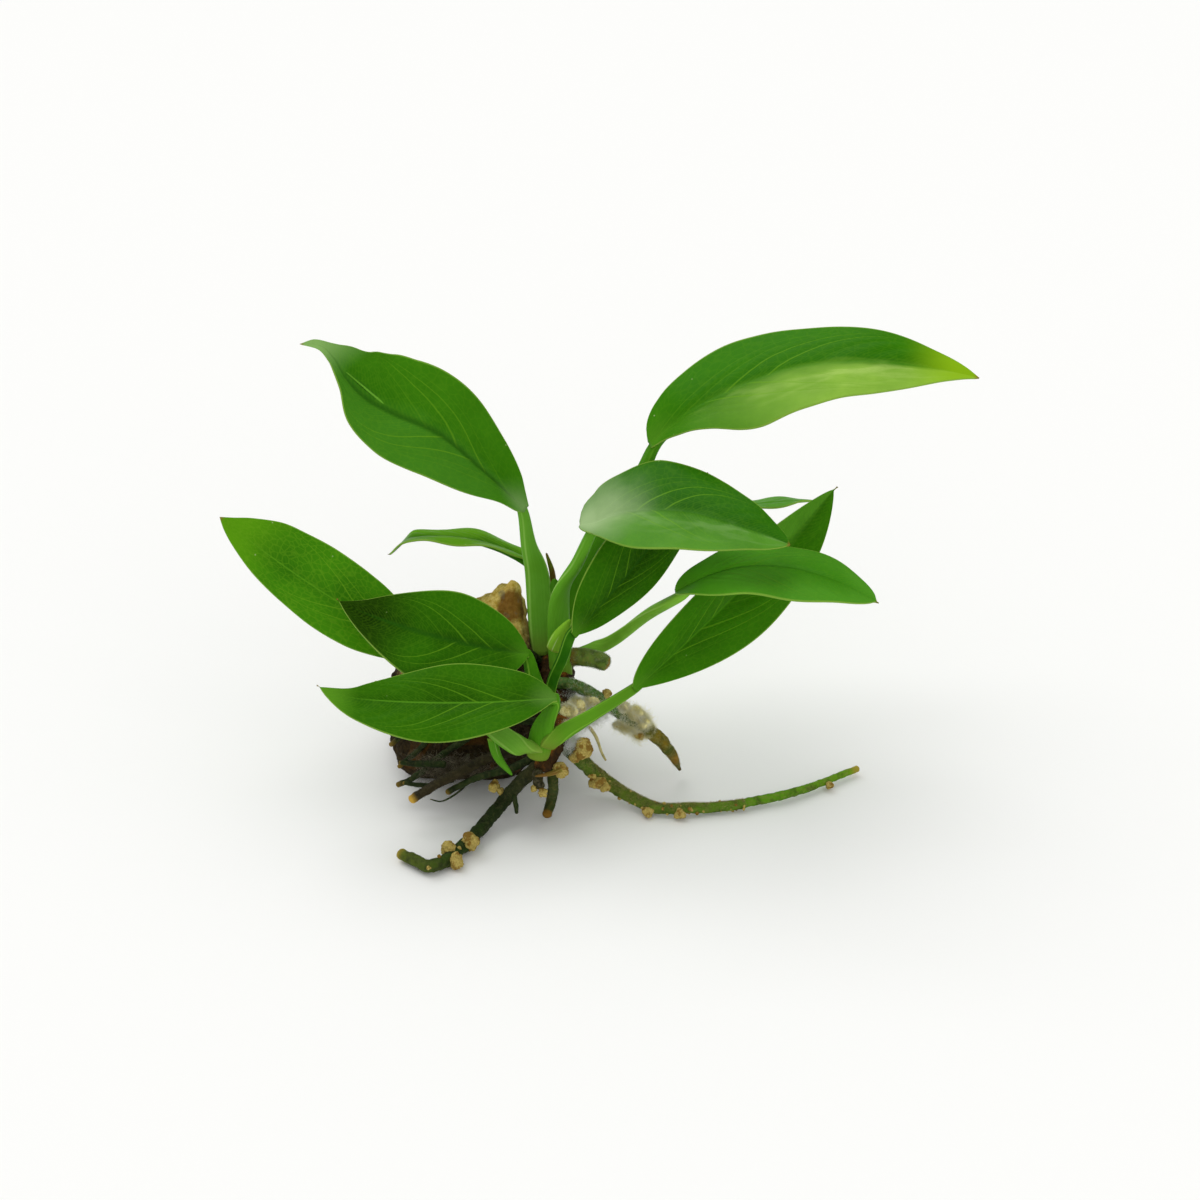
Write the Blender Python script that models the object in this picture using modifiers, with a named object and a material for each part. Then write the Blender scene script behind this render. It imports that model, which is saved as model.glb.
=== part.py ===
"""Anubias on stone: a creeping water plant whose rhizome and roots grip a small rough stone.

The stone stands on its flat underside at z = 0, with the origin at the middle of that face.
The rhizome climbs the stone's right flank from the front (-Y) to the back (+Y). Each leaf is a
petiole that rises from the rhizome and a thin blade at its end. Roots leave the rhizome, cross the
stone or lie on the ground, and hold small crumbs of gravel.

All sizes below are in millimetres, and MM turns them into Blender's metres.
"""

import math
from dataclasses import dataclass

import bmesh
import bpy
import numpy as np
from mathutils import Vector, noise
from mathutils.bvhtree import BVHTree

MM = 0.001

# How the pieces fit
GAP = 0.3  # kept between pieces that touch
SOIL_LINE = 0.15  # the lowest any root or crumb reaches above the ground

# Blade
BLADE_THICKNESS = 0.7
NECK_HALF_WIDTH = 0.6
BLADE_ROWS, BLADE_COLUMNS = 11, 5  # grid vertices along and across
FOLD_ANGLE = math.radians(15)  # how far each half is raised from flat, at the neck
CROSS_CURL = 0.15  # how far the margins bend down again, as a share of the half width

# Petiole radii from the foot to the neck
PETIOLE_RADII = (2.3, 2.0, 1.7, 1.6, 1.45)
PETIOLE_STEPS = 9
PETIOLE_SIDES = 8

# Rhizome: its line from the growing tip at the front to the old end at the back
RHIZOME_LINE = ((16, -34, 17), (17, -31, 18), (20, -22, 22), (20, -8, 25), (18, 5, 30), (16, 12, 33))
RHIZOME_RADII = (2.6, 3.6, 4.0, 4.2, 4.2, 3.4)
RHIZOME_STEPS = 16
RHIZOME_SIDES = 10

ROOT_STEP = 4.5  # spacing of the rings along a root
ROOT_SIDES = 8

# Stone: facets as (outward direction, distance from STONE_HEART)
STONE_HEART = (-2, 0, 12)
STONE_SIDE_FACETS = (
    ((-0.05, -0.93, 0.35), 19.0),  # front
    ((0.00, -0.80, -0.60), 17.5),  # front, undercut
    ((-0.93, -0.20, 0.30), 21.0),  # left
    ((-0.80, 0.00, -0.60), 20.0),  # left, undercut
    ((-0.65, -0.70, 0.30), 20.0),  # front left
    ((0.85, -0.30, -0.43), 18.5),  # right, undercut
    ((0.55, -0.80, 0.20), 19.0),  # front right
    ((0.00, 0.95, 0.30), 20.5),  # back
    ((-0.60, 0.75, 0.28), 21.0),  # back left
    ((0.70, 0.68, 0.20), 22.0),  # back right
)
STONE_LOW_TOP_FACETS = (
    ((0.62, -0.18, 0.76), 19.6),  # the flank under the rhizome
    ((-0.10, -0.15, 0.98), 15.0),  # top
)
STONE_PEAK_FACETS = (
    ((0.98, 0.10, 0.10), 17.2),  # steep side beside the rhizome's old end
    ((-0.60, -0.10, 0.80), 21.6),  # long slope to the left
    ((0.00, -0.85, 0.53), 14.9),  # slope to the front
)
STONE_EDGE_SHARPNESS = 24  # higher leaves the edges between facets sharper
STONE_LUMP_SIZE = 9.0
STONE_LUMP_HEIGHT = 0.9
STONE_SUBDIVISIONS = 4


@dataclass
class Leaf:
    """One leaf. Left and right are seen from above, looking from the neck to the tip."""

    name: str
    seat: float  # place of the foot on the rhizome, 0 at the front to 1 at the back
    bows: tuple  # points that the petiole passes on its way up
    neck: tuple  # where the petiole ends and the blade starts
    crest: tuple  # middle of the midrib
    tip: tuple  # end of the midrib, before the drip tip bends away by hook
    face: tuple  # the way that the upper side looks
    left: float  # widest half width, left of the midrib
    right: float
    base: tuple = (0.85, 0.85)  # how slowly each half widens from the neck
    end: tuple = (0.85, 0.85)  # how slowly each half narrows to the tip
    hook: tuple = (0, 0, 0)
    body_end: float = 0.96  # share of the midrib where the body ends and the drip tip goes on
    drip: float = 0.05  # width of the drip tip, as a share of the half width
    beside: tuple = ()  # leaves whose petiole crowds this one's foot, which is trimmed to make room


LEAVES = (
    Leaf("front_left", 0.04, ((17.5, -33.5, 29),), (20, -35, 38.5), (-8, -41, 38.5), (-35, -45, 45.5),
         (0.20, -0.56, 0.81), 10.5, 8.8, base=(0.9, 0.7), end=(0.8, 1.15), hook=(-2, 0, 2.5)),
    Leaf("far_left", 0.12, ((9.5, -32, 24), (1, -28, 29)), (-8, -21, 41), (-36, -16, 56), (-62, -12, 76),
         (0.22, -0.81, 0.54), 9, 9, base=(0.9, 0.9), end=(0.75, 0.6), beside=("front_left",)),
    Leaf("rising_right", 0.18, ((27, -27, 27.5),), (39, -24, 34), (63.5, -8, 51), (89.5, 6, 75),
         (0.17, -0.89, 0.43), 7.4, 12, base=(0.55, 1.1), end=(0.75, 0.9), beside=("front_left",)),
    Leaf("shaded_left", 0.32, ((15, -22, 33),), (13, -20, 42), (-9, -24.5, 49.5), (-32, -28, 61),
         (0.41, -0.63, 0.66), 13, 12.5, base=(0.8, 0.8), end=(0.9, 1.1), hook=(-1, 0, 1)),
    Leaf("middle", 0.42, ((19.2, -17, 33), (21.3, -17.5, 40)), (24, -18, 46), (40, -6, 60), (57, 2, 81),
         (0.26, -0.93, 0.28), 10.5, 7.2, base=(0.7, 0.9), end=(0.8, 0.8)),
    Leaf("centre", 0.60, ((20.7, -5, 50), (24.5, -6.5, 60.5)), (29.5, -8, 70.5), (51, -16, 80.5),
         (76, -26, 76), (-0.18, -0.29, 0.94), 13.6, 14, base=(0.3, 0.7), end=(0.7, 0.8)),
    Leaf("flat_right", 0.70, ((29, 3, 29.6), (34.5, 2, 33.5), (42, -4, 43.6)), (49, -14, 56), (72, -18, 66),
         (98, -26, 60), (-0.12, -0.07, 0.99), 9.2, 14, base=(0.7, 0.7), end=(0.55, 0.7)),
    Leaf("tall_right", 0.79, ((23.8, 3, 46.5), (30.3, 4, 60), (38.5, 5, 78)), (43.5, 6, 88), (80, 6, 108),
         (123, 6, 105.5), (-0.21, -0.43, 0.88), 12.5, 14.2, base=(0.45, 1.2), end=(0.75, 1.3)),
    Leaf("back_right", 0.88, ((30.5, 10, 43),), (43, 16, 60), (67.5, 20, 62), (86, 24, 61.5),
         (-0.08, 0.26, 0.96), 9, 9),
    Leaf("tall_left", 0.90, ((16, 4, 38), (14.6, 5, 51)), (12, 4, 69.5), (-11.5, 0, 91.5), (-37, 2, 112.5),
         (0.48, -0.73, 0.49), 10.8, 14.8, base=(1.0, 0.75), end=(0.7, 0.55), hook=(-7, 0, 2.5),
         body_end=0.93, drip=0.1, beside=("tall_right",)),
    Leaf("back_left", 0.98, ((15.5, 13.5, 41),), (15, 12, 49.5), (-4, 16, 55), (-23, 16, 54),
         (0.15, 0.25, 0.96), 8, 8, end=(0.7, 0.7), hook=(-1, 0, -4)),
)

# Small leafy pieces with no blade: (name, points, radii)
SHOOTS = (
    ("sheath_front", ((4, -33.5, 25), (5.5, -34.5, 21), (8.5, -34.5, 16.5)), (1.2, 1.1, 0.35)),
    ("new_shoot", ((23.5, -8.5, 34), (24, -9, 37.5), (24.5, -9.5, 42.5)), (1.3, 1.2, 0.3)),
)


@dataclass
class Root:
    """One root, from inside the rhizome to its free end."""

    name: str
    points: tuple
    radii: tuple
    on_stone: bool = False  # pressed to the stone's surface
    beside: tuple = ()  # leaves whose petiole crowds this root, which is trimmed to make room


ROOTS = (
    Root("long_right", ((19, -25, 21), (25.5, -25, 14), (30, -23, 8), (37.5, -25.5, 3.4), (46, -28.8, 2.0),
                        (61, -27.8, 1.9), (79, -21.8, 1.8), (97, -10, 1.6)), (1.7, 1.7, 1.45, 1.2)),
    Root("thick_right", ((20, -12, 24.5), (25, -13, 26.5), (31, -13.5, 24), (37, -14, 20), (44, -15, 15),
                         (49, -15, 9), (51, -12, 2.2)), (1.9, 1.9, 1.8, 0.9)),
    Root("blunt_right", ((19.5, -3, 28), (24, -3.6, 32.2), (28, -4.7, 32.8), (33.2, -5.2, 29.8)),
         (2.0, 2.0, 1.7), beside=("centre", "flat_right")),
    Root("long_front", ((15.3, -30.5, 16.5), (13.2, -31, 14), (10, -31, 10.6), (6, -31, 5), (0, -40, 2.1),
                        (-6, -50, 2.0), (-11, -54, 2.0), (-15, -51, 1.9), (-19, -48, 1.8)),
         (1.6, 1.7, 1.6, 1.3)),
    Root("short_front", ((18.2, -31, 17), (18.8, -33, 12), (18.2, -30, 5), (17, -33, 1.9)), (1.3, 1.3, 1.2)),
    Root("stub_front", ((15.5, -33.5, 17), (15, -35, 14.7), (16, -36.5, 12.8)), (1.3, 1.3, 1.1)),
    Root("left_upper", ((19, -23, 21), (12, -23.5, 17), (5, -24.5, 15), (-2, -27, 13), (-9, -30, 11),
                        (-17, -33, 7)), (1.5, 1.5, 1.4)),
    Root("left_lower", ((18, -28, 19), (11, -27.6, 14.6), (6, -28.3, 12.8), (-1, -29.2, 11), (-8, -31, 8)),
         (1.2, 1.2, 0.9)),
    Root("stone_low", ((18, -20, 22), (5, -20, 22), (-6, -20, 15), (-16, -22, 7), (-21, -23, 5)),
         (1.1, 1.1, 0.8), on_stone=True),
    Root("stone_middle", ((19, -15, 23.5), (6, -15, 28), (-6, -17, 22), (-15, -17, 12), (-20.5, -21, 9)),
         (1.1, 1.1, 0.8), on_stone=True),
    Root("stone_high", ((19.5, -10, 24.5), (5, -10, 30), (-9, -11, 26), (-18, -12, 15), (-23, -14, 11)),
         (1.2, 1.2, 0.8), on_stone=True),
    Root("stone_top", ((18.5, -1, 27.5), (8, -4, 33), (-4, -4, 31), (-14, -4, 28), (-22, -6, 25.5),
                       (-27, -7, 25)), (1.2, 1.2, 0.9), on_stone=True),
)

# Gravel crumbs: (name, centre, radius, the pieces that it clings to)
CRUMBS = (
    ("crumb_collar", (26.5, -26.5, 18), 2.6, ("root_long_right",)),
    ("crumb_tip", (20.5, -31.5, 15.5), 2.1, ("rhizome", "root_short_front", "root_long_right")),
    ("crumb_right_a", (29.8, -24.8, 7.0), 1.9, ("root_long_right",)),
    ("crumb_right_b", (42.5, -29.7, 1.6), 1.4, ("root_long_right",)),
    ("crumb_right_c", (50.5, -30.9, 1.6), 1.3, ("root_long_right",)),
    ("crumb_right_d", (89, -17.4, 1.4), 1.1, ("root_long_right",)),
    ("crumb_front_a", (-1.3, -45.2, 3.4), 2.0, ("root_long_front",)),
    ("crumb_front_b", (-6.8, -48.0, 3.6), 1.9, ("root_long_front",)),
    ("crumb_front_c", (-4.8, -51.8, 2.2), 1.9, ("root_long_front",)),
    ("crumb_left", (4, -28.8, 8.6), 1.6, ("root_left_lower",)),
    ("crumb_thick_a", (32.2, -13, 26.2), 1.4, ("root_thick_right",)),
    ("crumb_thick_b", (39.5, -14, 20.2), 2.0, ("root_thick_right",)),
    ("crumb_thick_c", (40.5, -15.8, 15.3), 1.3, ("root_thick_right",)),
)
CRUMB_LUMP_SIZE = 2.2
CRUMB_LUMP_HEIGHT = 0.35

COLOURS = {  # linear RGB, roughness
    "leaf": ((0.050, 0.190, 0.012), 0.32),
    "petiole": ((0.085, 0.250, 0.020), 0.40),
    "rhizome": ((0.110, 0.075, 0.025), 0.75),
    "root": ((0.055, 0.085, 0.028), 0.85),
    "crumb": ((0.480, 0.360, 0.140), 0.90),
    "stone": ((0.200, 0.130, 0.055), 0.90),
}


def clear_scene():
    """Removes what the file opens with."""
    for obj in list(bpy.data.objects):
        bpy.data.objects.remove(obj)


def new_collection(name):
    """A collection under the scene's own."""
    collection = bpy.data.collections.new(name)
    bpy.context.scene.collection.children.link(collection)
    return collection


def material(name):
    """The Principled material of one kind of tissue, made once."""
    if name in bpy.data.materials:
        return bpy.data.materials[name]
    colour, roughness = COLOURS[name]
    made = bpy.data.materials.new(name)
    made.use_nodes = True
    shader = made.node_tree.nodes["Principled BSDF"]
    shader.inputs["Base Color"].default_value = (*colour, 1)
    shader.inputs["Roughness"].default_value = roughness
    shader.inputs["Metallic"].default_value = 0
    return made


def add_object(name, data, kind, collection):
    """Puts a mesh or curve in the scene under its name, with its material."""
    obj = bpy.data.objects.new(name, data)
    data.materials.append(material(kind))
    collection.objects.link(obj)
    return obj


def smooth_step(x):
    """0 below 0, 1 above 1, and an even rise between."""
    x = np.clip(x, 0, 1)
    return x * x * (3 - 2 * x)


def smooth_route(points, count):
    """count points, evenly spaced, on a Catmull-Rom curve through the given ones."""
    p = np.array(points, float)
    p = np.vstack([2 * p[0] - p[1], p, 2 * p[-1] - p[-2]])
    t = np.linspace(0, 1, 20, endpoint=False)[:, None]
    dense = []
    for a, b, c, d in zip(p, p[1:], p[2:], p[3:]):
        dense.append(0.5 * (2 * b + (c - a) * t + (2 * a - 5 * b + 4 * c - d) * t**2
                            + (3 * b - a - 3 * c + d) * t**3))
    dense = np.vstack([*dense, p[-2:-1]])
    along = np.concatenate([[0], np.cumsum(np.linalg.norm(np.diff(dense, axis=0), axis=1))])
    even = np.linspace(0, along[-1], count)
    return np.stack([np.interp(even, along, dense[:, axis]) for axis in range(3)], axis=1)


def route_length(points):
    """Length of the smooth curve through the points."""
    return float(np.linalg.norm(np.diff(smooth_route(points, 60), axis=0), axis=1).sum())


def spread(values, count):
    """The values, evenly spaced, read at count places."""
    return np.interp(np.linspace(0, 1, count), np.linspace(0, 1, len(values)), values)


def mesh_from(obj):
    """Replaces a curve object by a welded mesh object of the same name."""
    graph = bpy.context.evaluated_depsgraph_get()
    mesh = bpy.data.meshes.new_from_object(obj.evaluated_get(graph))
    name, matrix, collection = obj.name, obj.matrix_world.copy(), obj.users_collection[0]
    bpy.data.objects.remove(obj)
    bm = bmesh.new()
    bm.from_mesh(mesh)
    bmesh.ops.remove_doubles(bm, verts=bm.verts, dist=0.01 * MM)
    bmesh.ops.recalc_face_normals(bm, faces=bm.faces)
    bm.to_mesh(mesh)
    bm.free()
    made = bpy.data.objects.new(name, mesh)
    made.matrix_world = matrix
    collection.objects.link(made)
    return made


def tube(name, route, radii, sides, kind, collection):
    """A round stem along a route, as a closed mesh."""
    curve = bpy.data.curves.new(name, "CURVE")
    curve.dimensions = "3D"
    curve.bevel_depth = MM
    curve.bevel_resolution = sides // 2 - 2
    curve.use_fill_caps = True
    spline = curve.splines.new("POLY")
    spline.points.add(len(route) - 1)
    for point, place, radius in zip(spline.points, route, radii):
        point.co = (*(place * MM), 1)
        point.radius = radius
    made = mesh_from(add_object(name, curve, kind, collection))
    made.data.shade_smooth()
    return made


class Plant:
    """The whole object: its pieces by name, and the clearance solids that shape their joints."""

    def __init__(self):
        self.pieces = new_collection("anubias_on_stone")
        self.cutters = new_collection("clearances")
        self.tubes = {}
        self.rhizome_route = smooth_route(RHIZOME_LINE, RHIZOME_STEPS)
        self.clearance_objects = {}

    def add_tube(self, name, route, radii, sides, kind):
        """A tube that is a piece, kept so that a clearance can be made around it."""
        self.tubes[name] = (route, radii, sides)
        return tube(name, route, radii, sides, kind, self.pieces)

    def clearance(self, name):
        """A solid GAP larger all round than the named tube, used only as a cutter."""
        if name not in self.clearance_objects:
            route, radii, sides = self.tubes[name]
            route = np.array(route)
            for end, inner in ((0, 1), (-1, -2)):
                out = route[end] - route[inner]
                route[end] += out / np.linalg.norm(out) * GAP
            grown = np.array(radii) + GAP / math.cos(math.pi / sides)
            cutter = tube(f"clear_{name}", route, grown, sides, "root", self.cutters)
            cutter.hide_render = True
            cutter.display_type = "WIRE"
            self.clearance_objects[name] = cutter
        return self.clearance_objects[name]

    def keep_clear(self, piece, *names):
        """Trims a piece where it would meet the named tubes, leaving GAP between them."""
        for name in names:
            cut = piece.modifiers.new(f"clear_of_{name}", "BOOLEAN")
            cut.operation = "DIFFERENCE"
            cut.object = self.clearance(name)

    def build_stone(self):
        """A star-shaped lump: for each direction, the nearest facet of the body or of the peak."""
        bm = bmesh.new()
        bmesh.ops.create_icosphere(bm, subdivisions=STONE_SUBDIVISIONS, radius=1)
        for vertex in bm.verts:
            way = vertex.co.normalized()
            reach = stone_reach(way)
            lump = noise.noise(way * reach / STONE_LUMP_SIZE) + 0.5 * noise.noise(way * reach / STONE_LUMP_SIZE * 2.3)
            vertex.co = (Vector(STONE_HEART) + way * (reach + STONE_LUMP_HEIGHT * lump)) * MM
        below = bmesh.ops.bisect_plane(bm, geom=bm.verts[:] + bm.edges[:] + bm.faces[:], dist=1e-6,
                                       plane_co=(0, 0, 0), plane_no=(0, 0, 1), clear_inner=True)
        rim = [item for item in below["geom_cut"] if isinstance(item, bmesh.types.BMEdge)]
        bmesh.ops.contextual_create(bm, geom=rim)
        bmesh.ops.dissolve_degenerate(bm, dist=0.05 * MM, edges=bm.edges)
        bmesh.ops.recalc_face_normals(bm, faces=bm.faces)
        mesh = bpy.data.meshes.new("stone")
        bm.to_mesh(mesh)
        bm.free()
        stone = add_object("stone", mesh, "stone", self.pieces)
        self.stone_tree = BVHTree.FromObject(stone, bpy.context.evaluated_depsgraph_get())

    def build_rhizome(self):
        """The creeping stem, ringed where old leaves grew."""
        radii = spread(RHIZOME_RADII, RHIZOME_STEPS)
        radii = radii * (1 + 0.04 * np.cos(np.arange(RHIZOME_STEPS) * math.pi))
        self.add_tube("rhizome", self.rhizome_route, radii, RHIZOME_SIDES, "rhizome")

    def seat(self, share):
        """The point on the rhizome's axis at a share of its length."""
        places = np.linspace(0, 1, RHIZOME_STEPS)
        return np.array([np.interp(share, places, self.rhizome_route[:, axis]) for axis in range(3)])

    def build_leaf(self, leaf):
        """A petiole trimmed to the rhizome, and a blade notched around the petiole's end."""
        route = smooth_route([self.seat(leaf.seat), *leaf.bows, leaf.neck], PETIOLE_STEPS)
        petiole = f"{leaf.name}_petiole"
        stem = self.add_tube(petiole, route, spread(PETIOLE_RADII, PETIOLE_STEPS), PETIOLE_SIDES, "petiole")
        self.keep_clear(stem, "rhizome", *(f"{other}_petiole" for other in leaf.beside))
        bm = bmesh.new()
        bmesh.ops.create_grid(bm, x_segments=BLADE_ROWS - 1, y_segments=BLADE_COLUMNS - 1, size=0.5)
        places = np.array([vertex.co for vertex in bm.verts])
        shaped = blade_points(leaf, places[:, 0] + 0.5, places[:, 1] * 2)
        for vertex, place in zip(bm.verts, shaped):
            vertex.co = place * MM
        mesh = bpy.data.meshes.new(f"{leaf.name}_blade")
        bm.to_mesh(mesh)
        bm.free()
        blade = add_object(f"{leaf.name}_blade", mesh, "leaf", self.pieces)
        blade.data.shade_smooth()
        wall = blade.modifiers.new("thickness", "SOLIDIFY")
        wall.thickness = BLADE_THICKNESS * MM
        wall.offset = 0
        self.keep_clear(blade, petiole)

    def build_shoots(self):
        """The sheath at the front and the rolled new leaf."""
        for name, points, radii in SHOOTS:
            route = smooth_route(points, 5)
            self.add_tube(name, route, spread(radii, 5), ROOT_SIDES, "petiole")

    def build_root(self, root):
        """A root that leaves the rhizome, kept off the ground and, where it grips, off the stone."""
        steps = max(4, round(route_length(root.points) / ROOT_STEP) + 1)
        route, radii = smooth_route(root.points, steps), spread(root.radii, steps)
        if root.on_stone:
            route = self.pressed_to_stone(route, radii)
        route[:, 2] = np.maximum(route[:, 2], radii + SOIL_LINE)
        piece = self.add_tube(f"root_{root.name}", route, radii, ROOT_SIDES, "root")
        self.keep_clear(piece, "rhizome", *(f"{leaf}_petiole" for leaf in root.beside))

    def push_off_stone(self, places, distances):
        """The move that takes each place at least its distance off the stone's surface."""
        moves = []
        for place, distance in zip(places, distances):
            spot, normal, _, _ = self.stone_tree.find_nearest(Vector(place) * MM)
            reached = (Vector(place) * MM - spot).dot(normal) / MM
            moves.append(np.array(normal) * max(distance - reached, 0))
        return np.array(moves)

    def pressed_to_stone(self, route, radii):
        """Lifts a route out of the stone, at its points and halfway between them."""
        clear = radii + 2 * GAP
        for _ in range(6):
            halfway = self.push_off_stone((route[1:] + route[:-1]) / 2, clear[1:])
            route[1:] += halfway
            route[:-1] += halfway
            route += self.push_off_stone(route, clear)
        return route

    def build_crumb(self, name, centre, radius, hosts):
        """A lump of gravel that fits round the root it clings to."""
        bm = bmesh.new()
        bmesh.ops.create_icosphere(bm, subdivisions=2, radius=radius)
        for vertex in bm.verts:
            lump = noise.noise((vertex.co + Vector(centre)) / CRUMB_LUMP_SIZE)
            vertex.co += vertex.co.normalized() * lump * CRUMB_LUMP_HEIGHT * radius
            place = vertex.co + Vector(centre)
            place.z = max(place.z, SOIL_LINE)
            vertex.co = place * MM
        bmesh.ops.dissolve_degenerate(bm, dist=0.02 * MM, edges=bm.edges)
        mesh = bpy.data.meshes.new(name)
        bm.to_mesh(mesh)
        bm.free()
        self.keep_clear(add_object(name, mesh, "crumb", self.pieces), *hosts)


def stone_reach(way):
    """Distance from the stone's heart to its rounded facets, in one direction."""
    reach = 0
    for top in (STONE_LOW_TOP_FACETS, STONE_PEAK_FACETS):
        total = 0
        for outward, distance in STONE_SIDE_FACETS + top:
            facing = Vector(outward).normalized().dot(way)
            if facing > 0:
                total += (facing / distance) ** STONE_EDGE_SHARPNESS
        reach = max(reach, total ** (-1 / STONE_EDGE_SHARPNESS))
    return reach


def blade_points(leaf, u, t):
    """Places on the blade: u from neck to tip, t from the left margin at -1 to the right at 1."""
    def midrib(s):
        neck, crest, tip = (np.array(p, float) for p in (leaf.neck, leaf.crest, leaf.tip))
        pull = 2 * crest - (neck + tip) / 2
        s = s[:, None]
        bend = smooth_step((s - 0.82) / 0.18) ** 2
        return (1 - s) ** 2 * neck + 2 * s * (1 - s) * pull + s * s * tip + bend * np.array(leaf.hook)

    step = 1e-3
    along = midrib(np.clip(u + step, 0, 1)) - midrib(np.clip(u - step, 0, 1))
    along /= np.linalg.norm(along, axis=1, keepdims=True)
    face = np.array(leaf.face) / np.linalg.norm(leaf.face)
    up = face - (along @ face)[:, None] * along
    up /= np.linalg.norm(up, axis=1, keepdims=True)
    across = np.cross(along, up)

    widest = np.where(t < 0, leaf.left, leaf.right)
    base = np.where(t < 0, leaf.base[0], leaf.base[1])
    end = np.where(t < 0, leaf.end[0], leaf.end[1])
    body = np.clip(u / leaf.body_end, 0, 1)
    peak = base / (base + end)
    outline = body**base * (1 - body) ** end / (peak**base * (1 - peak) ** end)
    outline += leaf.drip * np.sqrt(np.clip(1 - u, 0, 1)) * smooth_step(u * 4)
    half = np.maximum(widest * outline, NECK_HALF_WIDTH * (1 - 0.6 * u)) * np.abs(t)

    fold = FOLD_ANGLE * np.clip(1 - 0.6 * u, 0.2, 1)
    side = np.sign(t) * half * np.cos(fold)
    rise = half * np.sin(fold) - CROSS_CURL * half**2 / widest
    return midrib(u) + across * side[:, None] + up * rise[:, None]


def build():
    """Makes the whole object."""
    clear_scene()
    plant = Plant()
    plant.build_stone()
    plant.build_rhizome()
    for leaf in LEAVES:
        plant.build_leaf(leaf)
    plant.build_shoots()
    for root in ROOTS:
        plant.build_root(root)
    for crumb in CRUMBS:
        plant.build_crumb(*crumb)


build()
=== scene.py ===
"""Looks of a creeping water plant that grips a small stone: leaves, stems, roots, crumbs and stone.

Sizes in the tables are millimetres in the part's own frame, and MM turns them into metres.
"""

import logging
import math
from collections.abc import Callable, Sequence
from dataclasses import dataclass, field
from enum import Enum

import bpy
import numpy as np
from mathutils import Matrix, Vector, noise
from mathutils.bvhtree import BVHTree


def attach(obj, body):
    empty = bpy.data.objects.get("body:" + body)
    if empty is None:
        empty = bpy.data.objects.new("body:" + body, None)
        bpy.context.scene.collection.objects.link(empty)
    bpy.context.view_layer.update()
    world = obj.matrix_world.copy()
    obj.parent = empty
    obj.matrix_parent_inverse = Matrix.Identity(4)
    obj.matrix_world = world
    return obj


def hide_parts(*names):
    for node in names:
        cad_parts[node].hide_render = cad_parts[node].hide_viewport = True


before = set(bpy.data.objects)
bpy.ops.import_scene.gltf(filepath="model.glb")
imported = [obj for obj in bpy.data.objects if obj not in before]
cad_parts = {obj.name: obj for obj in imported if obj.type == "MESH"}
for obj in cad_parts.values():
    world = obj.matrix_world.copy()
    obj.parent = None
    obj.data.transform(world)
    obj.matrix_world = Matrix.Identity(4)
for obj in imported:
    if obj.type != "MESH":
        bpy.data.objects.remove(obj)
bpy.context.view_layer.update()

MM = 0.001
MERGE = 0.002  # millimetres, under which two vertices of a sheet become one
BLADE_GRID = (110, 52)  # faces along a blade and across it
SCALE_GRID = (40, 12)
PETIOLE_SIDES = 28
ROOT_SIDES = 24
SPARE = 3  # hairs drawn for each one kept, where some are left out
SEED = 7
LOG = logging.getLogger("anubias")
Point = Sequence[float]
Socket = bpy.types.NodeSocket

NOISE, MATH, MIX, RANGE = "ShaderNodeTexNoise", "ShaderNodeMath", "ShaderNodeMix", "ShaderNodeMapRange"
VORONOI, BUMP, COORD = "ShaderNodeTexVoronoi", "ShaderNodeBump", "ShaderNodeTexCoord"
RAMP = "ShaderNodeValToRGB"
SPLIT, MAPPING = "ShaderNodeSeparateXYZ", "ShaderNodeMapping"


# ---------------------------------------------------------------- small helpers


def srgb(code: str) -> tuple[float, float, float, float]:
    """Turns an sRGB hex colour into Blender's linear one.

    Args:
        code: Six hex digits after a hash sign.

    Returns:
        Linear red, green, blue and an alpha of 1.
    """
    parts = [int(code[i : i + 2], 16) / 255 for i in (1, 3, 5)]
    linear = [p / 12.92 if p <= 0.04045 else ((p + 0.055) / 1.055) ** 2.4 for p in parts]
    return (*linear, 1.0)


def smooth_step(x: np.ndarray) -> np.ndarray:
    """0 below 0, 1 above 1, and a gentle rise between."""
    x = np.clip(x, 0, 1)
    return x * x * (3 - 2 * x)


def smooth_route(points: Sequence[Point], count: int) -> np.ndarray:
    """Samples a Catmull-Rom curve evenly along its length.

    Args:
        points: Control points: x, y, z and any further values that change along the curve.
        count: How many samples to return.

    Returns:
        The samples, one row each, with as many columns as the points have values.
    """
    p = np.array(points, float)
    p = np.vstack([2 * p[0] - p[1], p, 2 * p[-1] - p[-2]])
    t = np.linspace(0, 1, 24, endpoint=False)[:, None]
    dense = [
        0.5 * (2 * b + (c - a) * t + (2 * a - 5 * b + 4 * c - d) * t**2 + (3 * b - a - 3 * c + d) * t**3)
        for a, b, c, d in zip(p, p[1:], p[2:], p[3:])
    ]
    line = np.vstack([*dense, p[-2:-1]])
    along = np.concatenate([[0], np.cumsum(np.linalg.norm(np.diff(line[:, :3], axis=0), axis=1))])
    even = np.linspace(0, along[-1], count)
    return np.stack([np.interp(even, along, line[:, i]) for i in range(line.shape[1])], axis=1)


def profile(stations: Sequence[Point], u: np.ndarray) -> np.ndarray:
    """Reads a smooth curve through (share, value) stations at the shares u."""
    dense = smooth_route([(share * 50, value, 0) for share, value in stations], 300)
    return np.interp(u, dense[:, 0] / 50, dense[:, 1])


def directions(route: np.ndarray) -> np.ndarray:
    """Unit tangents along a route."""
    ways = np.gradient(route[:, :3], axis=0)
    return ways / np.linalg.norm(ways, axis=1, keepdims=True)


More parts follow.
